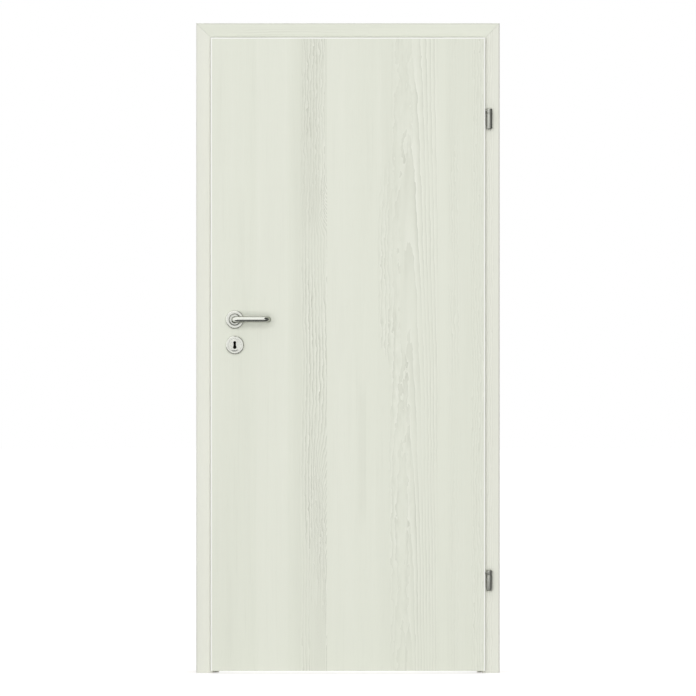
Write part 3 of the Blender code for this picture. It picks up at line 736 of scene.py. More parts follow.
@dataclass(frozen=True)
class Rubber:
    """Soft seal with a matt, slightly dusty skin.

    Attributes:
        name: The material's name.
        colour: Its colour.
    """

    name: str
    colour: Triple

    DUST_SCALE, DUST_DETAIL, DUST_LAYERS = 900.0, 3.0, 0.6
    DUST, DUST_PALENESS = Tone(0.45, 0.75, 0.5), 1.25
    ROUGHNESS, DUST_ROUGHNESS, RELIEF_DEPTH = 0.6, 0.25, 0.00004

    def build(self) -> Material:
        """Make the material."""
        shader = Shader(self.name)
        dust = shader.noise(shader.place, self.DUST_SCALE, self.DUST_DETAIL, self.DUST_LAYERS)
        pale = tuple(min(1.0, channel * self.DUST_PALENESS) for channel in self.colour)
        colour = shader.blend(self.DUST.of(dust), self.colour, pale)
        roughness = dust * self.DUST_ROUGHNESS + self.ROUGHNESS
        return shader.finish(colour, roughness, dust, self.RELIEF_DEPTH)


class Finishes:
    """Every material of the door, made once and shared by the pieces."""

    # Centre, low, high, soft_low, soft_high, pitch, depth, rise, wave and strength of each plank
    LEAF_PLANKS = (
        Plank(0.120, -0.120, -0.0664, 0.040, 0.0015, 0.0098, 0.030, 0.0, 0.05, 0.74, crackle=1.1,
              leans=((1.36, 1.56, 0.12), (0.80, 0.25, 0.15)), top=1.50, beyond=0.25),
        Plank(0.120, -0.138, -0.0730, 0.016, 0.0060, 0.0090, 0.030, 0.0, 0.05, 0.44, crackle=1.9,
              foot=1.44),
        Plank(0.120, -0.122, -0.0700, 0.020, 0.0040, 0.0092, 0.030, 0.0, 0.05, 0.38, crackle=1.9,
              foot=0.26, top=0.58),
        Plank(0.190, 0.216, 0.276, 0.014, 0.010, 0.0088, 0.012, 0.030, 0.012, 0.42, sharpness=3.4,
              sway=1.4, wobble=0.8, crackle=0.55),
        Plank(0.190, 0.184, 0.212, 0.012, 0.012, 0.0088, 0.012, 0.030, 0.012, 0.21, sharpness=1.2,
              sway=1.4, wobble=0.8, crackle=0.5),
        Plank(0.170, 0.138, 0.190, 0.014, 0.014, 0.0088, 0.020, 0.020, 0.05, 0.38, sharpness=2.6,
              crackle=1.7, moves=((0.96, 1.04, -0.034), (1.53, 1.64, 0.040)), foot=0.42, beyond=0.45),
        Plank(0.520, 0.394, 0.4225, 0.014, 0.008, 0.0080, 0.050, 0.0, 0.05, 0.30, crackle=1.9),
        Plank(0.100, 0.322, 0.344, 0.010, 0.010, 0.0088, 0.030, 0.0, 0.03, 0.22, crackle=1.8,
              foot=1.00, top=1.58, beyond=0.40),
    )
    # Low, high, soft_low, soft_high and strength of each streak, then its foot, top and fade
    LEAF_STREAKS = (
        Streak(0.0400, 0.0562, 0.018, 0.0015, 0.10, 0.54, 0.84, 0.10),
        Streak(0.3225, 0.4205, 0.020, 0.008, 0.06),
        Streak(-0.1430, -0.0990, 0.012, 0.014, 0.10, 1.46, ABOVE_DOOR, 0.12),
        Streak(-0.1580, -0.0664, 0.020, 0.0015, 0.07),
        Streak(0.1100, 0.1760, 0.020, 0.020, 0.04),
        Streak(-0.3380, -0.3250, 0.010, 0.003, 0.05, 1.34, 1.42, 0.16),
        Streak(-0.3200, -0.3080, 0.010, 0.003, 0.05, 0.44, 0.72, 0.22),
        Streak(-0.2814, -0.1929, 0.012, 0.012, -0.10),
        Streak(-0.0640, 0.0100, 0.002, 0.030, -0.06),
    )
    JAMB_PLANKS = (
        Plank(0.560, 0.434, 0.452, 0.008, 0.010, 0.0065, 0.040, 0.0, 0.04, 0.35, crackle=1.6),
    )
    HEAD_PLANKS = (
        Plank(-0.060, 0.026, 0.046, 0.006, 0.010, 0.0080, 0.010, 0.03, 0.03, 0.45,
              foot=-0.70, top=-0.48),
    )
    JAMB_GROUND = (0.781, 0.789, 0.705)

    # Colour, roughness, haze, grit, mark depth and edge tint of each metal
    LEVER = Metal("polished_nickel", (0.62, 0.63, 0.58), 0.12, 0.06, 1400.0, 6e-6, 0.10)
    ROSE = Metal("satin_nickel", (0.75, 0.76, 0.70), 0.24, 0.12, 1800.0, 12e-6, 0.10)
    HINGE = Metal("brushed_nickel", (0.50, 0.51, 0.46), 0.40, 0.14, 1600.0, 15e-6, 0.10)
    PLATED = Metal("satin_plated_steel", (0.58, 0.58, 0.56), 0.32, 0.16, 2200.0, 20e-6)
    # Near-black works: a sheet of the keyhole's shape inside the lock, painted shade that makes the
    # keyhole dark
    WORKS = Metal("keyhole_shade_black", (0.03, 0.029, 0.027), 0.60, 0.20, 900.0, 30e-6)
    SEAL = Rubber("seal_rubber", (0.50, 0.51, 0.47))

    def __init__(self, door: "Doorway") -> None:
        """Make the materials.

        Args:
            door: The doorway's main lines.
        """
        self.leaf = WoodDecor(
            "leaf_decor",
            Grain.UPRIGHT,
            door.middle_x,
            self.LEAF_PLANKS,
            self.LEAF_STREAKS,
            highlight_half=door.leaf_half,
            highlight_top=door.leaf_top,
        ).build()
        self.jamb = WoodDecor(
            "jamb_decor",
            Grain.UPRIGHT,
            door.middle_x,
            self.JAMB_PLANKS,
            ground=self.JAMB_GROUND,
            seed=31.0,
            fine=0.8,
        ).build()
        self.head = WoodDecor(
            "head_decor", Grain.ACROSS, door.passage_top, self.HEAD_PLANKS, seed=57.0
        ).build()
        self.raw_board = RawBoard("raw_chipboard").build()
        self.lever = self.LEVER.build()
        self.rose = self.ROSE.build()
        self.hinge = self.HINGE.build()
        self.plated = self.PLATED.build()
        self.works = self.WORKS.build()
        self.seal = self.SEAL.build()


class Surface:
    """Closed surfaces worked out as grids of points."""

    @staticmethod
    def add(name: str, points: np.ndarray, faces: list, material: Material) -> Object:
        """Put points and faces into a new smooth-shaded object at the origin.

        Args:
            name: The object's name.
            points: Places, one row each.
            faces: Corner numbers of each face.
            material: Its finish.

        Returns:
            The object.
        """
        mesh = bpy.data.meshes.new(name)
        mesh.from_pydata(points.tolist(), [], faces)
        mesh.materials.append(material)
        mesh.validate()
        mesh.shade_smooth()
        mesh.set_sharp_from_angle(angle=SMOOTH_ANGLE)
        made = bpy.data.objects.new(name, mesh)
        bpy.context.scene.collection.objects.link(made)
        return made

    @staticmethod
    def flatten(piece: Object) -> None:
        """Let large flat faces decide the shading of their corners, so that they stay flat."""
        weights = piece.modifiers.new("flat_faces", "WEIGHTED_NORMAL")
        weights.mode = "FACE_AREA"
        weights.keep_sharp = True

    @staticmethod
    def soften(piece: Object, width: float) -> None:
        """Break the sharp edges of a piece.

        Args:
            piece: The piece.
            width: Width of the broken edge.
        """
        edge = piece.modifiers.new("broken_edges", "BEVEL")
        edge.width = width
        edge.segments = 2
        edge.limit_method = "ANGLE"
        edge.angle_limit = BEVEL_ANGLE

    @staticmethod
    def tube(rings: np.ndarray, endless: bool = False) -> Skin:
        """Join closed rings of points into one skin, turned so that its faces point outwards.

        Point i of ring k meets point i + 1 of the same ring and point i of ring k + 1. An endless
        skin joins its last ring to its first, and any other gets a flat face at each end. The sum
        of each face's middle times its normal has the sign of the enclosed volume, and that tells
        which way the skin looks.

        Args:
            rings: Array of rings x points x 3.
            endless: Join the last ring to the first.

        Returns:
            The points and the faces.
        """
        count, size = rings.shape[:2]
        ring = np.arange(count if endless else count - 1)[:, None]
        spot = np.arange(size)[None, :]
        after = (ring + 1) % count
        beside = (spot + 1) % size
        near, far = ring * size, after * size
        quads = np.stack([near + spot, near + beside, far + beside, far + spot], axis=-1)
        quads = quads.reshape(-1, 4)
        points = rings.reshape(-1, 3)
        local = points - points.mean(axis=0)
        corners = local[quads]
        normal = np.cross(corners[:, 2] - corners[:, 0], corners[:, 3] - corners[:, 1])
        volume = float((corners.mean(axis=1) * normal).sum())
        faces = quads.tolist()
        if not endless:
            ends = local.reshape(rings.shape)[[0, -1]]
            area = np.cross(ends, np.roll(ends, -1, axis=1)).sum(axis=1)
            middle = ends.mean(axis=1)
            volume += float(middle[1] @ area[1] - middle[0] @ area[0])
            faces += [list(range(size - 1, -1, -1)), list(range((count - 1) * size, count * size))]
        if volume < 0:
            faces = [face[::-1] for face in faces]
        return points, faces

    @staticmethod
    def arc(centre: Pair, radius: float, start: float, end: float, steps: int) -> np.ndarray:
        """Points on an arc: centre plus radius times the cosine and the sine of the angle.

        Args:
            centre: Its centre.
            radius: Its radius.
            start: First angle in degrees.
            end: Last angle in degrees.
            steps: Number of stretches.

        Returns:
            Array of points x 2.
        """
        angle = np.radians(np.linspace(start, end, steps + 1))
        first, second = centre
        return np.stack([first + radius * np.cos(angle), second + radius * np.sin(angle)], axis=1)

    @staticmethod
    def resampled(outline: np.ndarray, count: int) -> np.ndarray:
        """A closed outline with its points spaced evenly along its length.

        Args:
            outline: Array of points x 2.
            count: New number of points.

        Returns:
            Array of count x 2.
        """
        closed = np.vstack([outline, outline[:1]])
        length = np.concatenate([[0.0], np.cumsum(np.hypot(*np.diff(closed, axis=0).T))])
        wanted = np.linspace(0.0, length[-1], count, endpoint=False)
        return np.stack([np.interp(wanted, length, closed[:, axis]) for axis in (0, 1)], axis=1)

    @staticmethod
    def turned(profile: np.ndarray, base: Vector, axis: Vector, sides: int) -> np.ndarray:
        """Rings of a profile turned round an axis.

        A profile point (r, h) becomes base + h along the axis + r round it.

        Args:
            profile: Array of (radius, height).
            base: Where the height is 0.
            axis: Direction of the height.
            sides: Points in a ring.

        Returns:
            Array of rings x points x 3.
        """
        upward = np.array(axis.normalized())
        across = np.array(axis.orthogonal().normalized())
        beside = np.cross(upward, across)
        angle = np.linspace(0.0, 2.0 * np.pi, sides, endpoint=False)
        around = np.cos(angle)[:, None] * across + np.sin(angle)[:, None] * beside
        height = np.array(base) + profile[:, 1, None] * upward
        return height[:, None, :] + profile[:, 0, None, None] * around[None, :, :]

    @staticmethod
    def joined(name: str, skins: list, material: Material) -> Object:
        """One object from several closed skins.

        Args:
            name: The object's name.
            skins: Points and faces of each skin.
            material: Its finish.

        Returns:
            The object.
        """
        points, faces, start = [], [], 0
        for skin_points, skin_faces in skins:
            points.append(skin_points)
            faces += [[corner + start for corner in face] for face in skin_faces]
            start += len(skin_points)
        return Surface.add(name, np.concatenate(points), faces, material)

    @staticmethod
    def welded(node: str, name: str, material: Material) -> Object:
        """A copy of a frame node with its corners joined, so that its rounded edges shade smoothly.

        Args:
            node: The frame node.
            name: The new object's name.
            material: Its finish.

        Returns:
            The object, which stands for the node.
        """
        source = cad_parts[node].data
        places = np.zeros(len(source.vertices) * 3, np.float32)
        source.vertices.foreach_get("co", places)
        corners = np.zeros(len(source.loops), np.int32)
        source.loops.foreach_get("vertex_index", corners)
        rounded = np.round(places.reshape(-1, 3) / WELD_DISTANCE).astype(np.int64)
        _, first, index = np.unique(rounded, axis=0, return_index=True, return_inverse=True)
        triangles = index.reshape(-1)[corners].reshape(-1, 3)
        apart = (
            (triangles[:, 0] != triangles[:, 1])
            & (triangles[:, 1] != triangles[:, 2])
            & (triangles[:, 2] != triangles[:, 0])
        )
        made = Surface.add(name, places.reshape(-1, 3)[first], triangles[apart].tolist(), material)
        Surface.flatten(made)
        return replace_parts(made, node)


@dataclass(frozen=True)
class Doorway:
    """Main lines of the door, read from the frame.

    Attributes:
        middle_x: Middle of the doorway.
        passage_top: Height of the clear passage.
        leaf_half: Half of the leaf's width over its lips.
        leaf_top: Height of the leaf's top edge.
        leaf_front: Y of the leaf's front face.
        leaf_back: Y of the leaf's rear face.
        spindle: The spindle's middle.
    """

    middle_x: float
    passage_top: float
    leaf_half: float
    leaf_top: float
    leaf_front: float
    leaf_back: float
    spindle: Vector

    @staticmethod
    def read() -> "Doorway":
        """Read the lines from the frame nodes."""
        front_low, front_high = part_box("front_skin")
        spindle_low, spindle_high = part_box("spindle")
        return Doorway(
            middle_x=(front_low.x + front_high.x) / 2,
            passage_top=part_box("head_lining")[0].z,
            leaf_half=(front_high.x - front_low.x) / 2,
            leaf_top=front_high.z,
            leaf_front=front_low.y,
            leaf_back=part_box("rear_skin")[1].y,
            spindle=(spindle_low + spindle_high) / 2,
        )

    def face(self, side: Side) -> float:
        """Y of the leaf's face on one side."""
        return self.leaf_front if side is Side.FRONT else self.leaf_back


def deliver(piece: Object, body: str) -> Object:
    """Let a piece ride on its body.

    Args:
        piece: The piece.
        body: The frame body that it moves with.

    Returns:
        The piece.
    """
    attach(piece, body)
    LOG.info("%s rides on %s: %d faces", piece.name, body, len(piece.data.polygons))
    return piece


def bare_faces(piece: Object, direction: Vector, material: Material) -> None:
    """Give the faces that look along a direction a second finish.

    Args:
        piece: The piece.
        direction: The way the bare faces look.
        material: Their finish.
    """
    mesh = piece.data
    if material.name not in mesh.materials:
        mesh.materials.append(material)
    slot = list(mesh.materials).index(material)
    normals = np.zeros(len(mesh.polygons) * 3, np.float32)
    mesh.polygons.foreach_get("normal", normals)
    chosen = np.zeros(len(mesh.polygons), np.int32)
    mesh.polygons.foreach_get("material_index", chosen)
    chosen[normals.reshape(-1, 3) @ np.array(direction) > FACING] = slot
    mesh.polygons.foreach_set("material_index", chosen)


@dataclass(frozen=True)
class Screw:
    """Raised countersunk screw with a cross recess.

    Attributes:
        radius: Radius of the head.
        proud: Height of the head at its middle.
        edge: Height of its rim.
        arm_half_width: Half width of the recess's arms.
        arm_reach: How far they reach from the middle.
        recess: Depth of the recess.
        softness: Width over which the recess's wall falls.
    """

    radius: float = 0.0036
    proud: float = 0.0009
    edge: float = 0.0003
    arm_half_width: float = 0.0005
    arm_reach: float = 0.0022
    recess: float = 0.0007
    softness: float = 0.0003

    RINGS = 18
    SIDES = 64
    HUB_RADIUS = 0.00005
    SUNK = 0.0002

    def skin(self, centre: Vector, outward: Vector) -> Skin:
        """The head as a height over a disc.

        The height falls from the middle to the rim with the square of the radius, less the recess
        wherever either arm of the cross lies.

        Args:
            centre: Middle of the head on its plate.
            outward: The way it looks.

        Returns:
            The points and the faces.
        """
        radius = np.linspace(self.HUB_RADIUS, self.radius, self.RINGS)[:, None]
        angle = np.linspace(0.0, 2.0 * np.pi, self.SIDES, endpoint=False)[None, :]
        u, v = radius * np.cos(angle), radius * np.sin(angle)

        def inside(distance: np.ndarray, limit: float) -> np.ndarray:
            """1 within the limit and 0 beyond it, over the soft width."""
            return np.clip((limit - np.abs(distance)) / self.softness + 0.5, 0.0, 1.0)

        cross = np.maximum(
            inside(u, self.arm_half_width) * inside(v, self.arm_reach),
            inside(v, self.arm_half_width) * inside(u, self.arm_reach),
        )
        share = (radius / self.radius) ** 2
        height = self.proud + (self.edge - self.proud) * share - self.recess * cross
        across = np.array(outward.orthogonal().normalized())
        beside = np.cross(np.array(outward), across)
        top = (
            np.array(centre)
            + u[..., None] * across
            + v[..., None] * beside
            + height[..., None] * np.array(outward)
        )
        foot = top[-1:] - (self.edge + self.SUNK) * np.array(outward)
        return Surface.tube(np.concatenate([top, foot]))


@dataclass
class CasingFrame:
    """Linings, architraves and seal.

    Attributes:
        finishes: The materials.
    """

    finishes: Finishes

    def dress(self) -> None:
        """Make and dress every board of the frame."""
        for side, outward in (("hinge", 1.0), ("lock", -1.0)):
            away = Vector((outward, 0.0, 0.0))
            self._board(f"{side}_side_lining", self.finishes.jamb, away)
            self._board(f"{side}_side_front_architrave", self.finishes.jamb, Vector((0, 1, 0)))
            self._board(f"{side}_side_rear_architrave", self.finishes.jamb, Vector((0, -1, 0)))
        self._board("head_lining", self.finishes.head, Vector((0, 0, 1)))
        self._board("head_front_architrave", self.finishes.head, Vector((0, 1, 0)))
        self._board("head_rear_architrave", self.finishes.head, Vector((0, -1, 0)))
        for place in ("hinge_side", "lock_side", "head"):
            seal = Surface.welded(f"{place}_seal", f"{place}_seal_strip", self.finishes.seal)
            deliver(seal, "frame")

    def _board(self, node: str, decor: Material, hidden: Vector) -> None:
        """One board: decor where it shows, bare chipboard towards the wall and the floor.

        Args:
            node: The frame node.
            decor: Its decor.
            hidden: The way its bare back looks.
        """
        board = Surface.welded(node, f"{node}_board", decor)
        bare_faces(board, hidden, self.finishes.raw_board)
        bare_faces(board, DOWN, self.finishes.raw_board)
        deliver(board, "frame")


@dataclass
class DoorLeaf:
    """Skins, stiles, rails and core.

    Attributes:
        finishes: The materials.
    """

    finishes: Finishes

    def dress(self) -> None:
        """Make and dress the leaf's boards."""
        for node in ("front_skin", "rear_skin", "hinge_stile", "lock_stile", "top_rail"):
            board = Surface.welded(node, f"leaf_{node}", self.finishes.leaf)
            bare_faces(board, DOWN, self.finishes.raw_board)
            deliver(board, "leaf")
        for node in ("bottom_rail", "core_board"):
            board = Surface.welded(node, f"leaf_{node}", self.finishes.raw_board)
            deliver(board, "leaf")


@dataclass(frozen=True)
class Keyhole:
    """Bit keyhole: a round top, a narrow waist and a round foot.

    Attributes:
        below_spindle: Drop from the spindle to the top circle's centre.
        top_radius: Radius of the top circle.
        waist: Width of the waist.
        foot_radius: Radius of the foot circle.
        foot_drop: Drop from the top circle to the foot circle.
    """

    below_spindle: float = 0.072
    top_radius: float = 0.0045
    waist: float = 0.0078
    foot_radius: float = 0.0054
    foot_drop: float = 0.0145

    def outline(self, middle_z: float, spare: float, count: int) -> np.ndarray:
        """Outline round a point of the leaf, from the top and clockwise.

        Each circle runs to where it meets the waist, whose half width is the radius times the cosine
        of that angle.

        Args:
            middle_z: Height, below the spindle, that the outline is measured from.
            spare: Widening all round.
            count: Number of points.

        Returns:
            Array of (across, up).
        """
        half = self.waist / 2 + spare
        top, foot = self.top_radius + spare, self.foot_radius + spare
        top_angle = math.degrees(math.acos(half / top))
        foot_angle = math.degrees(math.acos(half / foot))
        rise = middle_z - self.below_spindle
        first = Surface.arc((0.0, rise), top, 90, -top_angle, QUARTER_STEPS)
        low = Surface.arc(
            (0.0, rise - self.foot_drop), foot, foot_angle, -180 - foot_angle, 2 * QUARTER_STEPS
        )
        last = Surface.arc((0.0, rise), top, 180 + top_angle, 90, QUARTER_STEPS)[:-1]
        return Surface.resampled(np.concatenate([first, low, last]), count)


@dataclass
class MortiseLock:
    """Lock case, forend, bolts and works, with the strike plate in the frame.

    Attributes:
        door: The doorway's main lines.
        finishes: The materials.
        keyhole: The keyhole.
        screw: The screws of both plates.
        works_half: Half thickness of the lock's works behind the keyhole.
        works_spare: Widening of the works over the keyhole.
        screw_inset: Distance of a plate's screws from its ends.
        broken_edge: Width of the plates' broken edges.
    """

    door: Doorway
    finishes: Finishes
    keyhole: Keyhole = Keyhole()
    screw: Screw = Screw()
    works_half: float = 0.0015
    works_spare: float = 0.0005
    screw_inset: float = 0.0125
    broken_edge: float = 0.0003

    OUTLINE_POINTS = 96

    def dress(self) -> None:
        """Make the lock and its strike plate."""
        for node in ("lock_case", "lock_forend", "latch_bolt", "dead_bolt"):
            piece = Surface.welded(node, f"mortise_{node}", self.finishes.plated)
            Surface.soften(piece, self.broken_edge)
            deliver(piece, "leaf")
        plate = Surface.welded("strike_plate", "angled_strike_plate", self.finishes.plated)
        Surface.soften(plate, self.broken_edge)
        deliver(plate, "frame")
        self._works()
        self._screws("lock_forend", "forend_screws", Vector((-1, 0, 0)), "leaf")
        self._screws("strike_plate", "strike_plate_screws", Vector((1, 0, 0)), "frame")

    def _hole_ring(self, spare: float, depth: float) -> np.ndarray:
        """The keyhole's outline, widened by a spare, at a depth along Y."""
        outline = self.keyhole.outline(self.keyhole.below_spindle, spare, self.OUTLINE_POINTS)
        height = self.door.spindle.z - self.keyhole.below_spindle
        return np.column_stack([
            self.door.spindle.x + outline[:, 0],
            np.full(len(outline), depth),
            height + outline[:, 1],
        ])

    def _works(self) -> None:
        """The lock's works as a near-black sheet of the keyhole's shape inside the case: painted
        shade that closes the keyhole.
        """
        low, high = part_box("lock_case")
        middle = (low.y + high.y) / 2
        half = self.works_half
        rings = [self._hole_ring(self.works_spare, middle + offset) for offset in (-half, half)]
        works = Surface.add("lock_works", *Surface.tube(np.stack(rings)), self.finishes.works)
        deliver(works, "leaf")

    def _screws(self, node: str, name: str, outward: Vector, body: str) -> None:
        """The two screws of a plate.

        Args:
            node: The plate's frame node.
            name: The new object's name.
            outward: The way the heads look.
            body: The body that the plate is on.
        """
        low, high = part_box(node)
        forend_low, forend_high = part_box("lock_forend")
        face = high.x if outward.x > 0 else low.x
        depth = (forend_low.y + forend_high.y) / 2
        skins = [
            self.screw.skin(Vector((face, depth, height)), outward)
            for height in (low.z + self.screw_inset, high.z - self.screw_inset)
        ]
        deliver(Surface.joined(name, skins, self.finishes.plated), body)


@dataclass
class BarrelHinge:
    """One barrel hinge: the frame part with its pin and the leaf part that sits on it.

    Attributes:
        name: upper or lower.
        finishes: The materials.
        end_radius: Rounding of the barrel's two ends.
        seam_edge: Rounding at the seam.
        running_gap: Gap at the seam.
        pin_radius: Radius of the pin.
        bore_radius: Radius of its bore.
        pin_length: Length of the pin.
        frame_shank: Radius of the two shanks in the frame.
        frame_shank_inset: Distance of those shanks from the seam and from the foot.
        leaf_shank: Radius of the shank in the leaf.
    """

    name: str
    finishes: Finishes
    end_radius: float = 0.0035
    seam_edge: float = 0.0004
    running_gap: float = 0.0005
    pin_radius: float = 0.004
    bore_radius: float = 0.0044
    pin_length: float = 0.009
    frame_shank: float = 0.004
    frame_shank_inset: float = 0.013
    leaf_shank: float = 0.003

    SIDES = 64
    SHANK_SIDES = 32
    SHANK_OVERLAP = 0.002
    END_STEPS = 10
    SEAM_STEPS = 4

    def dress(self) -> None:
        """Make both parts."""
        frame_node, leaf_node = f"{self.name}_hinge_frame_part", f"{self.name}_hinge_leaf_part"
        frame_low, frame_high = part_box(frame_node)
        leaf_low, leaf_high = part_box(leaf_node)
        radius = (frame_high.x - frame_low.x) / 2
        foot = Vector((frame_low.x + radius, frame_low.y + radius, frame_low.z))
        seam = Vector((foot.x, foot.y, leaf_low.z))
        upward = Vector((0, 0, 1))

        profile = self._lower_profile(radius, seam.z - foot.z)
        skins = [Surface.tube(Surface.turned(profile, foot, upward, self.SIDES))]
        for height in (foot.z + self.frame_shank_inset, seam.z - self.frame_shank_inset):
            start = Vector((foot.x, foot.y + radius - self.SHANK_OVERLAP, height))
            end = Vector((foot.x, frame_high.y, height))
            skins.append(self._shank(start, end, self.frame_shank))
        piece = Surface.joined(f"{frame_node}_barrel", skins, self.finishes.hinge)
        deliver(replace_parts(piece, frame_node), "frame")

        profile = self._upper_profile(radius, leaf_high.z - seam.z)
        knuckle = Surface.tube(Surface.turned(profile, seam, upward, self.SIDES))
        middle = (leaf_low.z + leaf_high.z) / 2
        start = Vector((foot.x - radius + self.SHANK_OVERLAP, foot.y, middle))
        shank = self._shank(start, Vector((leaf_low.x, foot.y, middle)), self.leaf_shank)
        piece = Surface.joined(f"{leaf_node}_barrel", [knuckle, shank], self.finishes.hinge)
        deliver(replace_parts(piece, leaf_node), "leaf")

    def _lower_profile(self, radius: float, height: float) -> np.ndarray:
        """Rounded foot, barrel, rounded seam edge and pin, as (radius, height)."""
        top = height - self.running_gap
        end, edge = self.end_radius, self.seam_edge
        return np.concatenate([
            Surface.arc((radius - end, end), end, -90, 0, self.END_STEPS),
            Surface.arc((radius - edge, top - edge), edge, 0, 90, self.SEAM_STEPS),
            [(self.pin_radius, top), (self.pin_radius, top + self.pin_length)],
        ])

    def _upper_profile(self, radius: float, height: float) -> np.ndarray:
        """Bore, rounded seam edge, knuckle and rounded top, as (radius, height)."""
        end, edge = self.end_radius, self.seam_edge
        return np.concatenate([
            [(self.bore_radius, self.pin_length), (self.bore_radius, 0.0)],
            Surface.arc((radius - edge, edge), edge, -90, 0, self.SEAM_STEPS),
            Surface.arc((radius - end, height - end), end, 0, 90, self.END_STEPS),
        ])

    def _shank(self, start: Vector, end: Vector, radius: float) -> Skin:
        """A round shank between two points."""
        along = end - start
        profile = np.array([(radius, 0.0), (radius, along.length)])
        return Surface.tube(Surface.turned(profile, start, along, self.SHANK_SIDES))


@dataclass
class LeverFurniture:
    """Levers, spindle, lever roses and key roses.

    Attributes:
        door: The doorway's main lines.
        finishes: The materials.
        keyhole: The keyhole.
        rose_radius: Radius of both roses.
        rose_height: Their height over the leaf.
        rim_radius: Rounding of their rim.
        bore_radius: Bore of the lever rose.
        bore_edge: Rounding of that bore's edge.
        seat_gap: Gap between a rose and the leaf.
        collar_radius: Radius of the lever's collar.
        collar_height: Height of its top over the leaf.
        collar_edge: Rounding of its edge.
        foot_gap: Gap between the collar and the leaf.
        socket_radius: Bore round the spindle.
        socket_end: Height of the bore's end.
        neck_radius: Radius of the neck.
        root_radius: Rounding between collar and neck.
        grip_radius: Radius of the grip.
        reach: Length of the grip.
        projection: Height of its centre line over the leaf.
        bend_radius: Radius of both bends.
        tip_gap: Height of the tip over the leaf.
        tip_radius: Rounding of the tip.
        key_rose_drop: Drop from the spindle to the key rose's centre.
        step_radius: Radius of the step in the key rose's face.
        step_height: Its height.
        face_slope: Fall of the face from the oval to the step.
        collar_half_width: Half width of the raised oval round the keyhole.
        collar_half_height: Its half height.
        collar_proud: Its height over the face.
        small_edge: Width of the broken edges.
    """

    door: Doorway
    finishes: Finishes
    keyhole: Keyhole = Keyhole()
    rose_radius: float = 0.0285
    rose_height: float = 0.009
    rim_radius: float = 0.003
    bore_radius: float = 0.0185
    bore_edge: float = 0.0008
    seat_gap: float = 0.0003
    collar_radius: float = 0.0168
    collar_height: float = 0.0104
    collar_edge: float = 0.0012
    foot_gap: float = 0.0006
    socket_radius: float = 0.0059
    socket_end: float = 0.0348
    neck_radius: float = 0.0098
    root_radius: float = 0.0024
    grip_radius: float = 0.0092
    reach: float = 0.105
    projection: float = 0.050
    bend_radius: float = 0.0155
    tip_gap: float = 0.018
    tip_radius: float = 0.0015
    key_rose_drop: float = 0.0797
    step_radius: float = 0.0205
    step_height: float = 0.0008
    face_slope: float = 0.0007
    collar_half_width: float = 0.0098
    collar_half_height: float = 0.0170
    collar_proud: float = 0.0012
    small_edge: float = 0.0003

    SIDES = 96
    BEND_STEPS = 24
    EDGE_STEPS = 8
    BORE_STEPS = 6
    GROOVE = 0.0006

    def dress(self) -> None:
        """Make the furniture of both faces."""
        for side in Side:
            face = side.name.lower()
            lever = Surface.add(f"{face}_lever_handle", *self._lever(side), self.finishes.lever)
            Surface.flatten(lever)
            deliver(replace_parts(lever, f"{face}_lever"), "lever_set")
            skins = {"lever_rose": self._lever_rose(side), "key_rose": self._key_rose(side)}
            for kind, skin in skins.items():
                rose = Surface.add(f"{face}_{kind}_cover", *skin, self.finishes.rose)
                Surface.flatten(rose)
                deliver(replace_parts(rose, f"{face}_{kind}"), "leaf")
        spindle = Surface.welded("spindle", "square_spindle", self.finishes.plated)
        Surface.soften(spindle, self.small_edge)
        deliver(spindle, "lever_set")

    def _lever(self, side: Side) -> Skin:
        """The lever as circles carried along its centre line.

        The centre line goes straight out, bends a quarter turn to the grip, runs along it and bends
        a quarter turn back to the leaf. A station is (reach, projection, turn, radius), and its
        circle lies across the direction that the turn gives.

        Args:
            side: The face of the leaf.

        Returns:
            The points and the faces.
        """
        edge, root, bend = self.collar_edge, self.root_radius, self.bend_radius
        collar, height, steps = self.collar_radius, self.collar_height, self.EDGE_STEPS
        upright = np.concatenate([
            [(self.socket_radius, self.socket_end), (self.socket_radius, self.foot_gap)],
            [(collar, self.foot_gap)],
            Surface.arc((collar - edge, height - edge), edge, 0, 90, steps),
            Surface.arc((self.neck_radius + root, height + root), root, 270, 180, steps),
        ])
        straight = np.zeros(len(upright))
        foot = np.column_stack([straight, upright[:, 1], straight, upright[:, 0]])

        turn = np.linspace(0.0, 90.0, self.BEND_STEPS + 1)
        angle = np.radians(turn)
        start = self.projection - bend
        first = np.column_stack([
            bend * (1.0 - np.cos(angle)),
            start + bend * np.sin(angle),
            turn,
            np.full(len(turn), self.neck_radius),
        ])
        run = np.linspace(bend, self.reach - bend, self.EDGE_STEPS + 2)[1:-1]
        share = (run - bend) / (self.reach - 2 * bend)
        grip = np.column_stack([
            run,
            np.full(len(run), self.projection),
            np.full(len(run), 90.0),
            self.neck_radius + (self.grip_radius - self.neck_radius) * np.minimum(1.0, 2.0 * share),
        ])
        last = np.column_stack([
            self.reach - bend * (1.0 - np.sin(angle)),
            start + bend * np.cos(angle),
            90.0 + turn,
            np.full(len(turn), self.grip_radius),
        ])
        small = self.tip_radius
        tip = Surface.arc((self.grip_radius - small, self.tip_gap + small), small, 0, -90, steps)
        back = np.full(len(tip), 180.0)
        end = np.column_stack([np.full(len(tip), self.reach), tip[:, 1], back, tip[:, 0]])
        stations = np.concatenate([foot, first, grip, last, end])

        spindle, surface = self.door.spindle, self.door.face(side)
        lean = np.radians(stations[:, 2])
        middle = np.column_stack([
            spindle.x + stations[:, 0],
            surface + side.value * stations[:, 1],
            np.full(len(stations), spindle.z),
        ])
        across = np.column_stack([np.cos(lean), -side.value * np.sin(lean), np.zeros(len(lean))])
        round_angle = np.linspace(0.0, 2.0 * np.pi, self.SIDES, endpoint=False)
        circle = np.cos(round_angle)[None, :, None] * across[:, None, :]
        circle = circle + np.sin(round_angle)[None, :, None] * np.array([0.0, 0.0, 1.0])
        return Surface.tube(middle[:, None, :] + stations[:, 3, None, None] * circle)

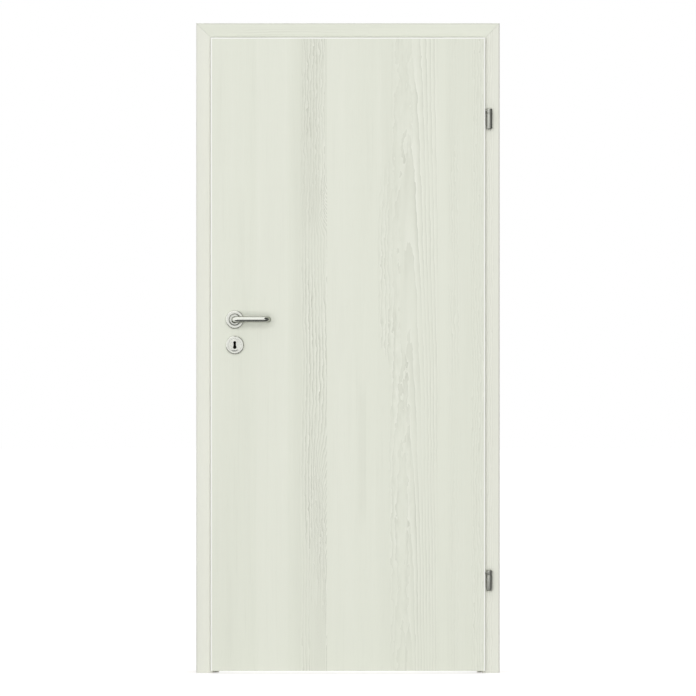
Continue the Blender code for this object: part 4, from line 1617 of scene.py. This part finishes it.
    def _rim(self) -> np.ndarray:
        """The rounded rim of a rose down to its foot, as (radius, height)."""
        rim = self.rim_radius
        corner = (self.rose_radius - rim, self.rose_height - rim)
        return np.concatenate([
            Surface.arc(corner, rim, 90, 0, 2 * self.EDGE_STEPS),
            [(self.rose_radius, self.seat_gap)],
        ])

    def _lever_rose(self, side: Side) -> Skin:
        """A turned ring: bore, broken inner edge, face, rounded rim and foot.

        Args:
            side: The face of the leaf.

        Returns:
            The points and the faces.
        """
        edge = self.bore_edge
        corner = (self.bore_radius + edge, self.rose_height - edge)
        profile = np.concatenate([
            [(self.bore_radius, self.seat_gap)],
            Surface.arc(corner, edge, 180, 90, self.BORE_STEPS),
            self._rim(),
        ])
        base = Vector((self.door.spindle.x, self.door.face(side), self.door.spindle.z))
        rings = Surface.turned(profile, base, Vector((0, side.value, 0)), self.SIDES)
        return Surface.tube(rings, endless=True)

    def _key_rose(self, side: Side) -> Skin:
        """Rings that change from the keyhole to the raised oval and to the round rim.

        Every ring has its points spaced evenly along its length from its top, so that they can be
        joined in order, and a height over the leaf of its own.

        Args:
            side: The face of the leaf.

        Returns:
            The points and the faces.
        """
        count, edge = self.SIDES, self.small_edge
        face = self.rose_height - self.step_height
        raised = face + self.collar_proud
        key = self.keyhole.outline(self.key_rose_drop, 0.0, count)
        wide_key = self.keyhole.outline(self.key_rose_drop, edge, count)
        rings = [(key, self.seat_gap), (key, raised - edge), (wide_key, raised)]
        rings += [(self._oval(-edge, count), raised), (self._oval(0.0, count), raised - edge)]
        rings += [(self._oval(0.0, count), face)]
        inner = self.step_radius
        low_face = face - self.face_slope
        for radius, height in (
            (inner - self.GROOVE, low_face),
            (inner, low_face),
            (inner, self.rose_height - edge),
            (inner + edge, self.rose_height),
            *self._rim(),
        ):
            rings.append((self._circle(radius, count), height))
        centre_z = self.door.spindle.z - self.key_rose_drop
        surface = self.door.face(side)
        points = np.stack([
            np.column_stack([
                self.door.spindle.x + outline[:, 0],
                np.full(count, surface + side.value * height),
                centre_z + outline[:, 1],
            ])
            for outline, height in rings
        ])
        return Surface.tube(points, endless=True)

    @staticmethod
    def _circle(radius: float, count: int) -> np.ndarray:
        """A circle from its top and clockwise."""
        angle = np.radians(90.0 - np.linspace(0.0, 360.0, count, endpoint=False))
        return radius * np.stack([np.cos(angle), np.sin(angle)], axis=1)

    def _oval(self, spare: float, count: int) -> np.ndarray:
        """The raised oval, with straight flanks, from its top and clockwise."""
        radius = self.collar_half_width + spare
        straight = self.collar_half_height - self.collar_half_width
        upper = Surface.arc((0.0, straight), radius, 90, 0, QUARTER_STEPS)
        lower = Surface.arc((0.0, -straight), radius, 0, -180, 2 * QUARTER_STEPS)
        rest = Surface.arc((0.0, straight), radius, 180, 90, QUARTER_STEPS)[:-1]
        return Surface.resampled(np.concatenate([upper, lower, rest]), count)


@dataclass(frozen=True)
class Card:
    """A studio card that only reflections see.

    Attributes:
        name: The card's name.
        x: Its reach along X, in metres from the middle of the door's foot.
        y: Its reach along Y.
        z: Its reach along Z.
        strength: Its brightness, where 1 is white.
    """

    name: str
    x: Pair
    y: Pair
    z: Pair
    strength: float

    def corners(self) -> list[Triple]:
        """Its four corners: lying flat where it has no height, and upright along Y otherwise."""
        (left, right), (near, far), (low, high) = self.x, self.y, self.z
        if low == high:
            return [(left, near, low), (right, near, low), (right, far, low), (left, far, low)]
        return [(left, near, low), (left, far, low), (left, far, high), (left, near, high)]

    def hang(self, foot: Vector) -> None:
        """Make the card.

        Args:
            foot: Middle of the door's foot.
        """
        mesh = bpy.data.meshes.new(self.name)
        places = [tuple(foot + Vector(corner)) for corner in self.corners()]
        mesh.from_pydata(places, [], [(0, 1, 2, 3)])
        material = bpy.data.materials.new(self.name)
        material.use_nodes = True
        material.cycles.emission_sampling = "NONE"
        shader = material.node_tree.nodes["Principled BSDF"]
        shader.inputs["Base Color"].default_value = BLACK
        shader.inputs["Specular IOR Level"].default_value = 0.0
        shader.inputs["Emission Color"].default_value = WHITE
        shader.inputs["Emission Strength"].default_value = self.strength
        mesh.materials.append(material)
        card = bpy.data.objects.new(self.name, mesh)
        for ray in ("camera", "diffuse", "transmission", "volume_scatter", "shadow"):
            setattr(card, f"visible_{ray}", False)
        bpy.context.scene.collection.objects.link(card)


@dataclass
class Studio:
    """White floor and ground, soft light from both sides, cards and the picture's camera.

    Attributes:
        floor_half: Half of the floor's side.
        world_strength: Even light from all round.
        lamp_width: Width of each lamp as seen from the door, in degrees.
        front_power: Power of the ring of lamps in front.
        front_count: Number of its lamps.
        front_angle: Angle between them and the ring's axis, in degrees.
        front_way: The way its light goes.
        rear_power: Power of the ring of lamps behind.
        rear_count: Number of its lamps.
        rear_angle: Angle between them and the ring's axis, in degrees.
        rear_way: The way its light goes.
        focal_length: Lens in millimetres on the sensor below.
        sensor: Sensor width in millimetres.
    """

    floor_half: float = 40.0
    world_strength: float = 0.45
    lamp_width: float = 9.0
    front_power: float = 1.94
    front_count: int = 12
    front_angle: float = 21.0
    front_way: Triple = (0.05, 1.0, -0.04)
    rear_power: float = 1.30
    rear_count: int = 4
    rear_angle: float = 30.0
    rear_way: Triple = (-0.25, -1.0, -0.35)
    focal_length: float = 300.0
    sensor: float = 36.0

    FLOOR_GREY = (0.62, 0.62, 0.62, 1.0)
    FLOOR_LIFT = 0.66
    FLOOR_DROP = 0.001
    CLIP_START, CLIP_END = 0.1, 200.0

    CARDS = (
        Card("overhead_softbox", (-4.0, 0.9), (-7.0, 7.0), (4.5, 4.5), 1.5),
        Card("upper_right_flag", (0.9, 3.5), (-7.0, 7.0), (4.5, 4.5), 0.05),
        Card("left_softbox", (-4.5, -4.5), (-6.0, 6.0), (0.4, 4.4), 1.4),
        Card("right_flag", (3.5, 3.5), (-7.0, 9.0), (0.01, 4.5), 0.15),
        Card("near_floor_flag", (-3.0, 3.5), (-1.6, -0.2), (0.002, 0.002), 0.02),
        Card("front_floor_flag", (-3.0, 3.5), (-4.0, -1.6), (0.002, 0.002), 0.25),
        Card("rear_floor_flag", (-3.5, 2.0), (1.4, 7.0), (0.002, 0.002), 0.12),
    )

    def build(self) -> None:
        """Make the floor, the lights, the cards and the camera."""
        middle = (cad_low + cad_high) / 2
        foot = Vector((middle.x, middle.y, cad_low.z))
        self._floor(foot)
        self._world()
        self._ring(
            "front_lamp", self.front_way, self.front_power, self.front_count, self.front_angle
        )
        self._ring("rear_lamp", self.rear_way, self.rear_power, self.rear_count, self.rear_angle)
        for card in self.CARDS:
            card.hang(foot)
        self._camera()

    @staticmethod
    def _seen_directly(tree: NodeTree) -> NodeSocket:
        """1 for camera, glossy and transmission rays, and 0 for the rays that carry light."""
        rays = tree.nodes.new("ShaderNodeLightPath")
        seen = rays.outputs["Is Camera Ray"]
        for other in ("Is Glossy Ray", "Is Transmission Ray"):
            larger = tree.nodes.new("ShaderNodeMath")
            larger.operation = "MAXIMUM"
            tree.links.new(seen, larger.inputs[0])
            tree.links.new(rays.outputs[other], larger.inputs[1])
            seen = larger.outputs[0]
        return seen

    def _floor(self, foot: Vector) -> None:
        """A large pale floor under the door, which takes the door's shadow and casts none."""
        half, height = self.floor_half, foot.z - self.FLOOR_DROP
        mesh = bpy.data.meshes.new("studio_floor")
        corners = [(-half, -half), (half, -half), (half, half), (-half, half)]
        places = [(foot.x + x, foot.y + y, height) for x, y in corners]
        mesh.from_pydata(places, [], [(0, 1, 2, 3)])
        floor = bpy.data.objects.new("studio_floor", mesh)
        floor.visible_shadow = False
        bpy.context.scene.collection.objects.link(floor)
        material = bpy.data.materials.new("studio_floor")
        material.use_nodes = True
        tree = material.node_tree
        shader = tree.nodes["Principled BSDF"]
        shader.inputs["Base Color"].default_value = self.FLOOR_GREY
        shader.inputs["Roughness"].default_value = 1.0
        shader.inputs["Specular IOR Level"].default_value = 0.0
        lift = tree.nodes.new("ShaderNodeMath")
        lift.operation = "MULTIPLY"
        lift.inputs[1].default_value = self.FLOOR_LIFT
        tree.links.new(self._seen_directly(tree), lift.inputs[0])
        shader.inputs["Emission Color"].default_value = WHITE
        tree.links.new(lift.outputs[0], shader.inputs["Emission Strength"])
        mesh.materials.append(material)

    def _world(self) -> None:
        """White to the camera and in reflections, and a weaker even light on the door."""
        world = bpy.data.worlds.new("studio")
        bpy.context.scene.world = world
        world.use_nodes = True
        tree = world.node_tree
        background = tree.nodes["Background"]
        background.inputs["Color"].default_value = WHITE
        strength = tree.nodes.new("ShaderNodeMapRange")
        strength.inputs["To Min"].default_value = self.world_strength
        strength.inputs["To Max"].default_value = 1.0
        tree.links.new(self._seen_directly(tree), strength.inputs["Value"])
        tree.links.new(strength.outputs["Result"], background.inputs["Strength"])

    def _ring(self, name: str, way: Triple, power: float, count: int, angle: float) -> None:
        """A ring of soft lamps round one direction.

        Lamp k of n leans from the ring's axis by the ring's angle, at k turns of 360 / n degrees.

        Args:
            name: Name of the lamps.
            way: The way their light goes.
            power: Power of all of them together.
            count: Number of lamps.
            angle: Angle between them and the ring's axis, in degrees.
        """
        axis = Vector(way).normalized()
        side = axis.cross(Vector((0.0, 0.0, 1.0))).normalized()
        upward = side.cross(axis)
        spread = math.tan(math.radians(angle))
        for index in range(count):
            turn = 2.0 * math.pi * index / count
            lamp = bpy.data.lights.new(f"{name}_{index}", "SUN")
            lamp.energy = power / count
            lamp.angle = math.radians(self.lamp_width)
            light = bpy.data.objects.new(f"{name}_{index}", lamp)
            light.visible_glossy = False
            bpy.context.scene.collection.objects.link(light)
            aim = axis + (side * math.cos(turn) + upward * math.sin(turn)) * spread
            light.rotation_euler = aim.to_track_quat("-Z", "Y").to_euler()

    def _camera(self) -> None:
        """A long lens straight in front, placed so that the door fills the photograph's own box."""
        wide, tall = FRAME_RIGHT_PX - FRAME_LEFT_PX, FRAME_BOTTOM_PX - FRAME_TOP_PX
        width_scale = (cad_high.x - cad_low.x) / wide
        height_scale = (cad_high.z - cad_low.z) / tall
        share = wide / (wide + tall)
        metres_a_pixel = width_scale * share + height_scale * (1.0 - share)
        middle_px = Vector((FRAME_LEFT_PX + FRAME_RIGHT_PX, FRAME_TOP_PX + FRAME_BOTTOM_PX)) / 2
        middle = (cad_low + cad_high) / 2
        target_x = middle.x + (PHOTO_SIDE / 2 - middle_px.x) * metres_a_pixel
        target_z = middle.z - (PHOTO_SIDE / 2 - middle_px.y) * metres_a_pixel
        face_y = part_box("head_front_architrave")[0].y
        distance = metres_a_pixel * PHOTO_SIDE * self.focal_length / self.sensor
        data = bpy.data.cameras.new("photo_camera")
        data.lens = self.focal_length
        data.sensor_width = self.sensor
        data.clip_start = self.CLIP_START
        data.clip_end = self.CLIP_END
        camera = bpy.data.objects.new("photo_camera", data)
        camera.location = (target_x, face_y - distance, target_z)
        camera.rotation_euler = (math.radians(90), 0.0, 0.0)
        bpy.context.scene.collection.objects.link(camera)
        bpy.context.scene.camera = camera


def main() -> None:
    """Build the looks in order."""
    logging.basicConfig(level=logging.INFO, format="%(message)s")
    bpy.context.scene.view_settings.view_transform = "Standard"
    door = Doorway.read()
    finishes = Finishes(door)
    CasingFrame(finishes).dress()
    DoorLeaf(finishes).dress()
    MortiseLock(door, finishes).dress()
    for name in ("upper", "lower"):
        BarrelHinge(name, finishes).dress()
    LeverFurniture(door, finishes).dress()
    Studio().build()


if __name__ == "__main__":
    main()
